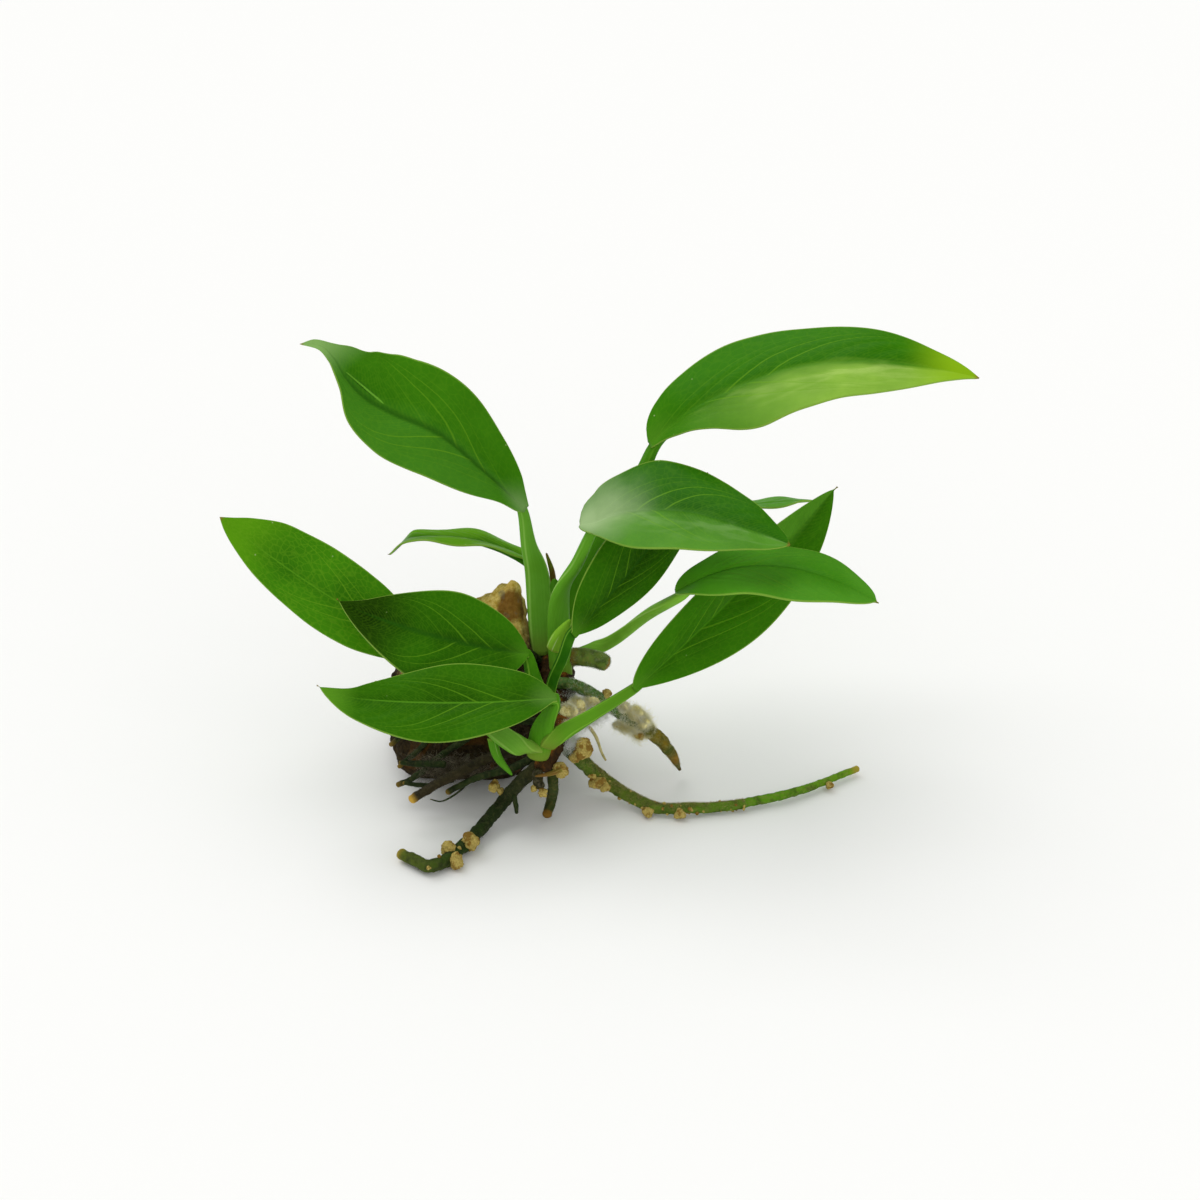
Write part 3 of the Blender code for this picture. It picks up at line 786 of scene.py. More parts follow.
@dataclass
class Leaf:
    """One leaf: a thin blade on a petiole whose foot sheathes the rhizome. Left and right are seen
    from above, looking from the neck to the tip."""

    name: str
    seat: float  # where it grows, as a share along the rhizome
    bows: tuple  # points that the petiole runs through on its way up
    neck: Point  # where the blade starts
    crest: Point  # middle of the midrib, where that is a plain arch
    tip: Point
    face: Point  # direction that the upper side looks in
    left: float  # greatest half width on that side
    right: float
    finish: LeafFinish
    stem: StemFinish
    base: tuple[float, float] = (0.85, 0.85)  # powers of the left and right outline at the neck
    end: tuple[float, float] = (0.85, 0.85)  # and at the tip: a low power is a full, round end
    hook: Point = (0, 0, 0)  # how far the tip bends off the arch
    rib: tuple = ()  # points on the midrib after the neck, where it isn't a plain arch
    left_edge: tuple = ()  # (share along, half width), where the margin isn't a plain bow
    right_edge: tuple = ()
    girth: tuple = ()  # half widths of the petiole from the rhizome to the neck
    shift: Point = (0, 0, 0)  # how far from the rhizome's axis the sheath's foot is
    lobe: Point = (0, 0, 0)  # how far the blade's base juts out past the petiole
    wave: float = 0.5  # how far the margins ripple
    wave_at: tuple[float, float] = (2.3, 0.2)  # ripples along the blade, and where they start
    thickness: float = 0.45
    fold: float = math.radians(15)  # how far each half rises from the midrib
    curl: float = 0.15  # how far the margins fall again

    def midrib(self, u: np.ndarray) -> np.ndarray:
        """Places on the midrib, u from the neck at 0 to the tip at 1.

        Args:
            u: Shares of the way from the neck at 0 to the tip at 1.

        Returns:
            One place a row, in millimetres.
        """
        if self.rib:
            route = smooth_route([self.neck, *self.rib], 200)
            return np.stack([np.interp(u, np.linspace(0, 1, 200), route[:, i]) for i in range(3)], axis=1)
        neck, crest, tip = (np.array(p, float) for p in (self.neck, self.crest, self.tip))
        pull = 2 * crest - (neck + tip) / 2
        s = u[:, None]
        bend = smooth_step((s - 0.82) / 0.18) ** 2
        return (1 - s) ** 2 * neck + 2 * s * (1 - s) * pull + s * s * tip + bend * np.array(self.hook)

    def axes(self, u: np.ndarray) -> tuple[np.ndarray, np.ndarray, np.ndarray]:
        """Directions along the midrib, across the blade to its right, and up out of its face.

        Args:
            u: Shares of the way from the neck at 0 to the tip at 1.

        Returns:
            The three directions, one row a place.
        """
        step = 0.012 if self.rib else 1e-3
        along = self.midrib(np.clip(u + step, 0, 1)) - self.midrib(np.clip(u - step, 0, 1))
        along /= np.linalg.norm(along, axis=1, keepdims=True)
        face = np.array(self.face, float) / np.linalg.norm(self.face)
        up = face - (along @ face)[:, None] * along
        up /= np.linalg.norm(up, axis=1, keepdims=True)
        return along, np.cross(along, up), up

    def half_width(self, u: np.ndarray, t: np.ndarray) -> np.ndarray:
        """Half width at each place, on the side that t is on.

        Args:
            u: Shares of the way from the neck at 0 to the tip at 1.
            t: Places across, from the left margin at -1 to the right at 1.

        Returns:
            Half widths in millimetres.
        """
        halves = []
        for edge, widest, base, end in zip((self.left_edge, self.right_edge), (self.left, self.right),
                                           self.base, self.end):
            body = np.clip(u / 0.985, 0, 1)
            peak = base / (base + end)
            outline = widest * body**base * (1 - body) ** end / (peak**base * (1 - peak) ** end)
            halves.append(profile(edge, u) if edge else outline)
        half = np.where(t < 0, *halves)
        return np.maximum(half, 0.9 * (1 - smooth_step(u * 1.02)))

    def surface(self, u: np.ndarray, t: np.ndarray) -> np.ndarray:
        """Places on the blade, with its fold, rippled margins, midrib groove and quilting.

        Args:
            u: Shares of the way from the neck at 0 to the tip at 1.
            t: Places across, from the left margin at -1 to the right at 1.

        Returns:
            One place a row, in millimetres.
        """
        _, across, up = self.axes(u)
        half = self.half_width(u, t) * np.abs(t)
        widest = np.where(t < 0, self.left, self.right)
        fold = self.fold * np.clip(1 - 0.6 * u, 0.2, 1)
        rise = half * np.sin(fold) - self.curl * half**2 / widest
        ripple = np.sin(2 * math.pi * (self.wave_at[0] * u + self.wave_at[1]) + np.where(t < 0, 1.9, 0))
        rise += self.wave * ripple * np.abs(t) ** 2.5 * smooth_step(u * 5) * smooth_step((1 - u) * 5)
        furrow = np.exp(-((half / 0.8) ** 2)) * smooth_step(u * 9) * smooth_step((1 - u) * 3)
        rise -= self.finish.groove * furrow
        inner = np.sqrt(np.clip(1 - np.abs(t), 0.004, 1))
        phase = (1 - (1 - u) / inner) * self.finish.veins + np.where(t > 0, SIDE_SHIFT, 0)
        quilt = np.abs(np.sin(math.pi * phase)) - 0.5
        born = smooth_step((phase / self.finish.veins + 0.05) / 0.1)
        rise += 0.16 * quilt * born * (4 * np.abs(t) * (1 - np.abs(t))) * smooth_step((1 - u) * 4)
        side = np.sign(t) * half * np.cos(fold)
        jut = (1 - smooth_step(u / 0.05))[:, None] * np.array(self.lobe, float)
        return self.midrib(u) + across * side[:, None] + up * rise[:, None] + jut

    def build_blade(self) -> None:
        """The blade: a grid shaped to the leaf, given its thickness by Solidify."""
        obj, u, v = unit_sheet(f"{self.name}_blade_skin", *BLADE_GRID)
        move_vertices(obj.data, self.surface(u, 2 * v - 1))
        edit_mesh(obj, lambda: bpy.ops.mesh.remove_doubles(threshold=MERGE * MM))
        face = Vector(self.face)
        total = sum((p.normal * p.area for p in obj.data.polygons), Vector())
        if total.dot(face) < 0:
            edit_mesh(obj, bpy.ops.mesh.flip_normals)
        select_only(obj)
        wall = obj.modifiers.new("thickness", "SOLIDIFY")
        wall.thickness = self.thickness * MM
        wall.offset = -1
        wall.material_offset = 1
        bpy.ops.object.modifier_apply(modifier=wall.name)
        finish_piece(obj, [self.finish.material(), underside()], "leaf", f"{self.name}_blade")

    def stem_route(self, rhizome: "Rhizome") -> np.ndarray:
        """The petiole's line, which runs on under the blade as its keel.

        Args:
            rhizome: The stem that the petiole grows from.

        Returns:
            Rows of x, y, z, half width and half depth.
        """
        points = [rhizome.seat(self.seat) + np.array(self.shift, float), *self.bows]
        wide = self.girth or np.linspace(2.6, 1.7, len(points) + 1)
        deep = np.linspace(2.2, 1.4, len(points) + 1)
        rows = [(*p, w, d) for p, w, d in zip(points, wide, deep)]
        u = np.array([0.0, 0.06, 0.16, 0.32, 0.55, 0.85])
        thick = np.array([1.35, 1.05, 0.8, 0.6, 0.40, 0.12])
        _, _, up = self.axes(u)
        keel = self.midrib(u) - up * (thick * np.array([0.95, 1.0, 0.95, 0.9, 0.9, 0.9]) + 0.4)[:, None]
        rows += [(*p, r, r) for p, r in zip(keel, thick)]
        rows[len(points)] = (*keel[0], max(thick[0], wide[-1] * 0.9), thick[0])
        return smooth_route(rows, 90)

    def build_stem(self, rhizome: "Rhizome") -> None:
        """The petiole with the two lips of its open sheath.

        Args:
            rhizome: The stem that the petiole grows from.
        """
        route = self.stem_route(rhizome)
        _, across, _ = self.axes(np.array([0.0]))
        obj, u, v = unit_sheet(f"{self.name}_petiole_skin", len(route) - 1, PETIOLE_SIDES)
        rows = np.rint(u * (len(route) - 1)).astype(int)
        _, sides, ups = frames_along(route, across[0])
        neck_row = np.argmin(np.linalg.norm(route[:, :3] - np.array(self.neck, float), axis=1)) / len(route)
        turn = smooth_step(1 - np.linspace(0, 1, len(route)) / neck_row)[:, None]
        ways = directions(route)
        sides = sides * (1 - turn) + turn * np.array([math.copysign(1, across[0][0]), 0, 0])
        sides -= (sides * ways).sum(axis=1, keepdims=True) * ways
        sides /= np.linalg.norm(sides, axis=1, keepdims=True)
        ups = np.cross(ways, sides)
        angle = 2 * math.pi * v
        wide, deep = route[rows, 3], route[rows, 4]
        open_part = 1 - smooth_step((u / neck_row - 0.45) / 0.35)
        cos, sin = np.cos(angle), np.sin(angle)
        x = wide * cos
        y = deep * sin * np.where(sin > 0, 1 - 0.35 * open_part * (1 - np.abs(cos) ** 3), 1)
        y += np.where(sin > 0, 0.08 * wide * open_part * np.exp(-(((np.abs(cos) - 0.84) / 0.12) ** 2)), 0)
        y -= np.where(sin > 0, 0.22 * (1 - open_part) * np.exp(-((x / 0.7) ** 2)), 0)
        cap = np.clip(np.minimum(u / 0.012, (1 - u) / 0.01), 0, 1) ** 0.5
        places = route[rows, :3] + sides[rows] * (x * cap)[:, None] - ups[rows] * (y * cap)[:, None]
        move_vertices(obj.data, places)
        sew(obj)
        finish_piece(obj, [self.stem.material()], "petiole", f"{self.name}_petiole")


UNDERSIDE: dict[str, bpy.types.Material] = {}


def underside() -> bpy.types.Material:
    """The underside's material, made once.

    Returns:
        The material.
    """
    if "made" not in UNDERSIDE:
        UNDERSIDE["made"] = UndersideFinish().material()
    return UNDERSIDE["made"]


# ---------------------------------------------------------------- stems, roots and hairs


def build_tube(
    name: str, route: np.ndarray, sides: int, lump: float = 0.0, lump_size: float = 2.0, blunt: float = 0.8
) -> bpy.types.Object:
    """A closed tube with rounded ends and an uneven skin.

    Args:
        name: Name of the object.
        route: Rows of x, y, z and radius, in millimetres.
        sides: Faces around it.
        lump: How far the skin is uneven, as a share of the radius.
        lump_size: Distance between lumps, in millimetres.
        blunt: Length of a rounded end over its radius.

    Returns:
        The object, with U along it and V around it.
    """
    along = np.concatenate([[0], np.cumsum(np.linalg.norm(np.diff(route[:, :3], axis=0), axis=1))])
    turn = np.linspace(0, math.pi / 2, 8)
    first, last = route[0, 3] * blunt, route[-1, 3] * blunt
    body = np.linspace(first, along[-1] - last, len(route))[1:-1]
    spots = np.concatenate([first * (1 - np.cos(turn)), body, along[-1] - last * (1 - np.cos(turn[::-1]))])
    swell = np.concatenate([np.sin(turn), np.ones(len(body)), np.sin(turn[::-1])])
    route = np.stack([np.interp(spots, along, route[:, i]) for i in range(4)], axis=1)
    obj, u, v = unit_sheet(name, len(route) - 1, sides)
    rows = np.rint(u * (len(route) - 1)).astype(int)
    safe = route.copy()
    safe[0] = 2 * safe[1] - safe[2]
    _, across, up = frames_along(safe)
    angle = 2 * math.pi * v
    out = across[rows] * np.cos(angle)[:, None] + up[rows] * np.sin(angle)[:, None]
    radius = route[rows, 3] * swell[rows]
    if lump:
        samples = route[rows, :3] + out * route[rows, 3][:, None]
        spread = [Vector(p) / lump_size for p in samples]
        uneven = np.array([noise.noise(p) + 0.5 * noise.noise(p * 2.7) for p in spread])
        radius = radius * (1 + lump * uneven)
    move_vertices(obj.data, route[rows, :3] + out * radius[:, None])
    corners = np.empty(len(obj.data.loops), np.int32)
    obj.data.loops.foreach_get("vertex_index", corners)
    shares = np.stack([spots[rows] / along[-1], v], axis=1)[corners]
    obj.data.uv_layers.active.data.foreach_set("uv", shares.astype(np.float32).ravel())
    sew(obj)
    return obj


@dataclass
class Rhizome:
    """The creeping stem: corky, ringed by old leaf scars, rust brown where its skin is worn."""

    line: tuple = ((16, -34, 17), (17, -31, 18), (20, -22, 22), (20, -8, 25), (18, 5, 30), (16, 12, 33))
    radii: tuple = (1.8, 2.6, 3.5, 4.1, 4.2, 3.4)

    def seat(self, share: float) -> np.ndarray:
        """The point on its axis at a share of its length.

        Args:
            share: 0 at the growing tip, 1 at the old end.

        Returns:
            The point, in millimetres.
        """
        route = smooth_route(self.line, 100)
        places = np.linspace(0, 1, 100)
        return np.array([np.interp(share, places, route[:, i]) for i in range(3)])

    def build(self) -> None:
        """The stem with a ring every 3 mm."""
        route = smooth_route([(*p, r) for p, r in zip(self.line, self.radii)], 150)
        route[:, 3] *= 1 + 0.045 * np.sin(np.linspace(0, 2 * math.pi * 16, 150))
        obj = build_tube("rhizome_bark", route, 40, lump=0.16, lump_size=2.4)
        bark = MottledFinish(
            "rhizome_corky",
            low="#241808",
            high="#4a3010",
            patch="#84500f",
            patch_size=6.0,
            grain_size=0.9,
            patch_share=0.2,
            relief=0.5,
        )
        finish_piece(obj, [bark.material()], "rhizome", "rhizome")


@dataclass
class Root:
    """One root from inside the rhizome to its free end."""

    name: str
    points: tuple
    radii: tuple
    finish: RootFinish
    on_stone: bool = False
    extra: bool = False  # a rootlet that the CAD part doesn't have
    lump: float = 0.2
    route: np.ndarray = field(default_factory=lambda: np.zeros((0, 4)))

    def lay(self, stone: "Stone | None") -> np.ndarray:
        """Finds the root's line, off the ground and off the stone.

        Args:
            stone: The stone that it may cling to.

        Returns:
            Rows of x, y, z and radius.
        """
        shares = np.linspace(0, 1, len(self.points))
        radii = np.interp(shares, np.linspace(0, 1, len(self.radii)), self.radii)
        length = np.linalg.norm(np.diff(np.array(self.points, float), axis=0), axis=1).sum()
        route = smooth_route([(*p, r) for p, r in zip(self.points, radii)], max(24, int(length * 2.6)))
        if self.on_stone and stone is not None:
            for _ in range(4):
                route[:, :3] += stone.push_off(route[:, :3], route[:, 3] * 0.8)
            smoothed = route[:, :3].copy()
            for _ in range(6):
                smoothed[1:-1] = (smoothed[:-2] + smoothed[1:-1] + smoothed[2:]) / 3
            route[:, :3] = smoothed
            route[:, :3] += stone.push_off(route[:, :3], route[:, 3] * 0.8)
        apart = [Vector((k * 9, 0, 0)) for k in range(3)]
        sway = np.array([[noise.noise(Vector(p) / 7 + shift) for shift in apart] for p in route[:, :3]])
        route[:, :3] += 0.5 * sway * np.sin(math.pi * np.linspace(0, 1, len(route)))[:, None]
        route[:, 2] = np.maximum(route[:, 2], route[:, 3] + 0.05)
        self.route = route
        return route

    def build(self, stone: "Stone") -> None:
        """The root's skin.

        Args:
            stone: The stone that it may cling to.
        """
        self.lay(stone)
        obj = build_tube(f"root_{self.name}_skin", self.route, ROOT_SIDES, self.lump, 1.6)
        nodes = [] if self.extra else [f"root_{self.name}"]
        finish_piece(obj, [self.finish.material()], "root", *nodes)


class Strand(Enum):
    """The two shapes that hairs are copied from."""

    STUBBLE = 1
    THREAD = 4


def strand_template(shape: Strand) -> tuple[np.ndarray, np.ndarray, np.ndarray]:
    """Models one three-sided hair as a cone and reads its mesh.

    Args:
        shape: How many segments it has along its length.

    Returns:
        For each vertex the share along, its offset square to the hair, and the faces' corners.
    """
    bpy.ops.object.select_all(action="DESELECT")
    bpy.ops.mesh.primitive_cone_add(vertices=3, radius1=1, radius2=0.25, depth=1, location=(0, 0, 0.5))
    obj = bpy.context.object
    if shape.value > 1:
        bpy.ops.object.mode_set(mode="EDIT")
        bpy.ops.mesh.select_mode(type="EDGE")
        bpy.ops.mesh.select_all(action="DESELECT")
        bpy.ops.object.mode_set(mode="OBJECT")
        for edge in obj.data.edges:
            a, b = (obj.data.vertices[i].co.z for i in edge.vertices)
            edge.select = abs(a - b) > 0.5
        bpy.ops.object.mode_set(mode="EDIT")
        bpy.ops.mesh.subdivide(number_cuts=shape.value - 1)
        bpy.ops.mesh.select_mode(type="VERT")
        bpy.ops.object.mode_set(mode="OBJECT")
    edit_mesh(obj, lambda: bpy.ops.mesh.quads_convert_to_tris())
    places = vertex_places(obj.data)
    places[:, 2] += 0.5
    faces = np.array([list(p.vertices) for p in obj.data.polygons])
    bpy.data.objects.remove(obj)
    return np.clip(places[:, 2], 0, 1), places[:, :2], faces


def plant_hairs(
    name: str, start: np.ndarray, bend: np.ndarray, end: np.ndarray, radius: np.ndarray, shape: Strand
) -> bpy.types.Object:
    """Copies one hair along many curves and joins the copies.

    Args:
        name: Name of the object.
        start: Where each hair starts, one row a hair, in millimetres.
        bend: The point that pulls it sideways.
        end: Where it ends.
        radius: Its radius at the start.
        shape: Which hair is copied.

    Returns:
        The joined mesh object.
    """
    share, offset, faces = strand_template(shape)
    s = share[None, :, None]
    line = (1 - s) ** 2 * start[:, None] + 2 * s * (1 - s) * bend[:, None] + s * s * end[:, None]
    way = end - start
    way /= np.maximum(np.linalg.norm(way, axis=1, keepdims=True), 1e-6)
    helper = np.where(np.abs(way[:, 2:3]) < 0.9, np.array([[0.0, 0.0, 1.0]]), np.array([[1.0, 0.0, 0.0]]))
    first = np.cross(way, helper)
    first /= np.linalg.norm(first, axis=1, keepdims=True)
    second = np.cross(way, first)
    spread = first[:, None] * offset[None, :, :1] + second[:, None] * offset[None, :, 1:]
    places = (line + spread * radius[:, None, None]).reshape(-1, 3)
    corners = (faces[None] + (np.arange(len(start)) * len(share))[:, None, None]).reshape(-1, 3)
    mesh = bpy.data.meshes.new(name)
    mesh.vertices.add(len(places))
    mesh.vertices.foreach_set("co", (places * MM).astype(np.float32).ravel())
    mesh.loops.add(corners.size)
    mesh.loops.foreach_set("vertex_index", corners.astype(np.int32).ravel())
    mesh.polygons.add(len(corners))
    mesh.polygons.foreach_set("loop_start", np.arange(0, corners.size, 3, dtype=np.int32))
    mesh.update(calc_edges=True)
    mesh.validate()
    obj = bpy.data.objects.new(name, mesh)
    bpy.context.scene.collection.objects.link(obj)
    volume = np.linalg.det(places[corners[: len(faces)]]).sum() if len(start) else 0
    if volume < 0:
        edit_mesh(obj, bpy.ops.mesh.flip_normals)
    return obj


@dataclass
class Fuzz:
    """A coat of hairs on a stretch of a root or stem."""

    name: str
    host: str
    stretch: tuple[float, float]
    count: int
    length: float  # millimetres
    finish: HairFinish
    lift: float = 0.6  # how far the hairs stand up rather than lie along
    radius: float = 0.03
    facing: Point | None = None  # hairs only on the side that looks this way
    clump: float = 0.0  # how bare the gaps between the clumps are

    def build(self, hosts: dict[str, np.ndarray], random: np.random.Generator) -> None:
        """Plants the hairs, thickest in clumps.

        Args:
            hosts: Each root's line by name.
            random: The plant's random numbers.
        """
        route = hosts[self.host]
        ways, sides, ups = frames_along(route)
        wanted = self.count * (SPARE if self.facing or self.clump else 1)
        share = random.uniform(*self.stretch, wanted)
        spot = share * (len(route) - 1)
        row = np.clip(spot.astype(int), 0, len(route) - 2)
        part = (spot - row)[:, None]
        centre = route[row, :3] * (1 - part) + route[row + 1, :3] * part
        angle = random.uniform(0, 2 * math.pi, wanted)
        out = sides[row] * np.cos(angle)[:, None] + ups[row] * np.sin(angle)[:, None]
        keep = np.ones(wanted, bool)
        if self.facing is not None:
            toward = np.array(self.facing, float) / np.linalg.norm(self.facing)
            keep &= out @ toward > random.uniform(-0.2, 0.7, wanted)
        length = np.linalg.norm(np.diff(route[:, :3], axis=0), axis=1).sum()
        near_end = np.clip(np.minimum(share, 1 - share) * length / route[row, 3], 0.02, 1)
        start = centre + out * route[row, 3:4] * (0.93 * np.sqrt(1 - (1 - near_end) ** 2))[:, None]
        if self.clump:
            field_at = np.array([noise.noise(Vector(p) / 1.6) for p in start])
            keep &= field_at > random.uniform(-0.5, self.clump, wanted)
        pick = np.flatnonzero(keep)[: self.count]
        start, out, way = start[pick], out[pick], ways[row[pick]]
        loose = random.normal(0, 0.45, (len(pick), 3))
        along = way * random.uniform(-1, 1, (len(pick), 1))
        push = out * self.lift + along * (1 - self.lift) + loose
        push /= np.linalg.norm(push, axis=1, keepdims=True)
        reach = self.length * random.uniform(0.35, 1.15, (len(pick), 1))
        end = start + push * reach
        end[:, 2] = np.maximum(end[:, 2], 0.05)
        start[:, 2] = np.maximum(start[:, 2], 0.05)
        bend = start + out * reach * 0.5
        radius = np.full(len(pick), self.radius)
        obj = plant_hairs(self.name, start, bend, end, radius, Strand.STUBBLE)
        finish_piece(obj, [self.finish.material()], "root")


@dataclass
class Web:
    """A loose felt of root hairs that spans the space between two roots."""

    name: str
    corners: tuple  # points that it hangs between
    count: int
    finish: HairFinish
    reach: float = 4.0  # longest thread
    depth: float = 1.6  # how far the felt spreads off its corners
    radius: float = 0.03

    def build(self, random: np.random.Generator) -> None:
        """Threads between random places near the felt's surface.

        Args:
            random: The plant's random numbers.
        """
        corners = np.array(self.corners, float)
        weights = random.dirichlet(np.full(len(corners), 0.8), self.count)
        start = weights @ corners + random.normal(0, self.depth / 2, (self.count, 3))
        way = random.normal(0, 1, (self.count, 3)) * np.array([1, 0.5, 1])
        way /= np.linalg.norm(way, axis=1, keepdims=True)
        end = start + way * self.reach * random.uniform(0.3, 1, (self.count, 1))
        bend = (start + end) / 2 + random.normal(0, self.reach * 0.22, (self.count, 3))
        for points in (start, bend, end):
            points[:, 2] = np.maximum(points[:, 2], 0.08)
        obj = plant_hairs(self.name, start, bend, end, np.full(self.count, self.radius), Strand.THREAD)
        finish_piece(obj, [self.finish.material()], "root")


# ---------------------------------------------------------------- stone and crumbs


@dataclass
class Stone:
    """The stone: the CAD body's shape with lumps, ledges and pits worked into it."""

    levels: int = 3
    peak_at: tuple[float, float] = (8.4, 4.7)
    peak_size: tuple[float, float] = (2.6, 4)  # its half widths in X and Y
    peak_from: float = 37  # the height at which it starts
    peak_height: float = 2.6
    tree: BVHTree | None = None

    def build(self) -> None:
        """Copies the CAD stone, rounds it, and works in lumps of 6 mm, 2 mm and 0.7 mm."""
        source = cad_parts["stone"]
        obj = source.copy()
        obj.data = source.data.copy()
        obj.name = obj.data.name = "stone_rough"
        for key in list(obj.keys()):
            del obj[key]
        obj.parent = None
        obj.data.materials.clear()
        bpy.context.scene.collection.objects.link(obj)
        edit_mesh(obj, lambda: bpy.ops.mesh.remove_doubles(threshold=0.01 * MM))
        select_only(obj)
        rounding = obj.modifiers.new("rounding", "SUBSURF")
        rounding.levels = rounding.render_levels = self.levels
        bpy.ops.object.modifier_apply(modifier=rounding.name)
        mesh = obj.data
        places = vertex_places(mesh) / MM
        normals = np.empty(len(mesh.vertices) * 3, np.float32)
        mesh.vertex_normals.foreach_get("vector", normals)
        normals = normals.reshape(-1, 3).astype(float)
        bumps = np.array([self.relief(Vector(p)) for p in places])
        hold = smooth_step(places[:, 2] / 1.5)
        places += normals * (bumps * hold)[:, None]
        x, y, z = places.T
        aside = (x - self.peak_at[0]) / self.peak_size[0]
        behind = (y - self.peak_at[1]) / self.peak_size[1]
        peak = np.exp(-(aside**2) - behind**2) * smooth_step((z - self.peak_from) / 8)
        places[:, 2] = np.maximum(z + self.peak_height * peak, 0)
        move_vertices(mesh, places)
        self.tree = BVHTree.FromObject(obj, bpy.context.evaluated_depsgraph_get())
        finish_piece(obj, [StoneFinish().material()], "stone", "stone")

    @staticmethod
    def relief(place: Vector) -> float:
        """Height of the rough surface over the smooth one, in millimetres.

        Args:
            place: A point on the smooth surface, in millimetres.

        Returns:
            The height.
        """
        ledge = abs(noise.noise(place / 6.5 + Vector((3, 7, 1))))
        return (1.5 * ledge - 0.5 + 0.55 * noise.noise(place / 2.2) + 0.25 * noise.noise(place / 0.9)
                + 0.10 * noise.noise(place / 0.4))

    def push_off(self, places: np.ndarray, distances: np.ndarray) -> np.ndarray:
        """The moves that take places at least their distances off the surface.

        Args:
            places: Points, one row each, in millimetres.
            distances: The least distance of each from the surface.

        Returns:
            One move a point.
        """
        moves = np.zeros((len(places), 3))
        for i, (place, distance) in enumerate(zip(places, distances)):
            spot, normal, _, _ = self.tree.find_nearest(Vector(place) * MM)
            reached = (Vector(place) * MM - spot).dot(normal) / MM
            moves[i] = np.array(normal) * max(distance - reached, 0)
        return moves


@dataclass
class Crumb:
    """A crumb of gravel or clay held by the roots."""

    name: str
    centre: Point
    radius: float
    squash: Point = (1, 1, 1)
    node: str | None = None

    def build(self, finish: bpy.types.Material) -> None:
        """A lumpy ball with a rough skin.

        Args:
            finish: Its material.
        """
        noise.seed_set(1 + int(abs(sum(self.centre)) * 10))
        bpy.ops.object.select_all(action="DESELECT")
        bpy.ops.mesh.primitive_ico_sphere_add(subdivisions=5, radius=1, location=(0, 0, 0))
        obj = bpy.context.object
        obj.name = obj.data.name = f"{self.name}_grain"
        ways = vertex_places(obj.data)
        key = Vector(self.centre)
        lobes = [noise.random_unit_vector() for _ in range(6)]
        swell = np.array([self.swell(Vector(w), lobes, key) for w in ways])
        places = ways * (swell * self.radius)[:, None] * np.array(self.squash) + np.array(self.centre)
        places[:, 2] = np.maximum(places[:, 2], 0.02)
        move_vertices(obj.data, places)
        finish_piece(obj, [finish], "crumb", *([self.node] if self.node else []))


    @staticmethod
    def swell(way: Vector, lobes: Sequence[Vector], key: Vector) -> float:
        """How far the skin stands out in one direction, over the radius.

        Args:
            way: The direction.
            lobes: Directions in which the crumb bulges.
            key: An offset that makes this crumb's roughness its own.

        Returns:
            The share of the radius.
        """
        bulge = max(math.exp((way.dot(lobe) - 1) * 5) for lobe in lobes)
        octaves = ((3, 0.12), (7, 0.07), (15, 0.04))  # lumps on the ball, and their height
        rough = sum(share * noise.noise(way * pace + key) for pace, share in octaves)
        return 0.78 + 0.42 * bulge + rough


@dataclass
class Grit:
    """Tiny grains stuck along a root, joined into one piece."""

    name: str
    host: str
    stretch: tuple[float, float]
    count: int
    size: tuple[float, float]
    facing: Point = (0, -0.5, -0.3)

    def build(
        self, hosts: dict[str, np.ndarray], finish: bpy.types.Material, random: np.random.Generator
    ) -> None:
        """Copies one small rough grain at random sizes and places.

        Args:
            hosts: Each root's line by name.
            finish: The grains' material.
            random: The plant's random numbers.
        """
        bpy.ops.object.select_all(action="DESELECT")
        bpy.ops.mesh.primitive_ico_sphere_add(subdivisions=2, radius=1, location=(0, 0, 0))
        grain = bpy.context.object
        shape = vertex_places(grain.data)
        faces = np.array([list(p.vertices) for p in grain.data.polygons])
        bpy.data.objects.remove(grain)
        route = hosts[self.host]
        _, sides, ups = frames_along(route)
        toward = np.array(self.facing, float)
        toward /= np.linalg.norm(toward)
        places, corners = [], []
        for index in range(self.count):
            row = int(random.uniform(*self.stretch) * (len(route) - 1))
            angle = random.uniform(0, 2 * math.pi)
            out = sides[row] * math.cos(angle) + ups[row] * math.sin(angle)
            out = out + toward * random.uniform(0, 1.2)
            out /= np.linalg.norm(out)
            radius = random.uniform(*self.size)
            stretch = random.uniform(0.7, 1.3, 3)
            rough = 1 + random.normal(0, 0.09, (len(shape), 1))
            here = route[row, :3] + out * (route[row, 3] + radius * 0.35) + shape * rough * stretch * radius
            here[:, 2] = np.maximum(here[:, 2], 0.02)
            places.append(here)
            corners.append(faces + index * len(shape))
        mesh = bpy.data.meshes.new(self.name)
        mesh.from_pydata((np.vstack(places) * MM).tolist(), [], np.vstack(corners).tolist())
        obj = bpy.data.objects.new(self.name, mesh)
        bpy.context.scene.collection.objects.link(obj)
        finish_piece(obj, [finish], "crumb")


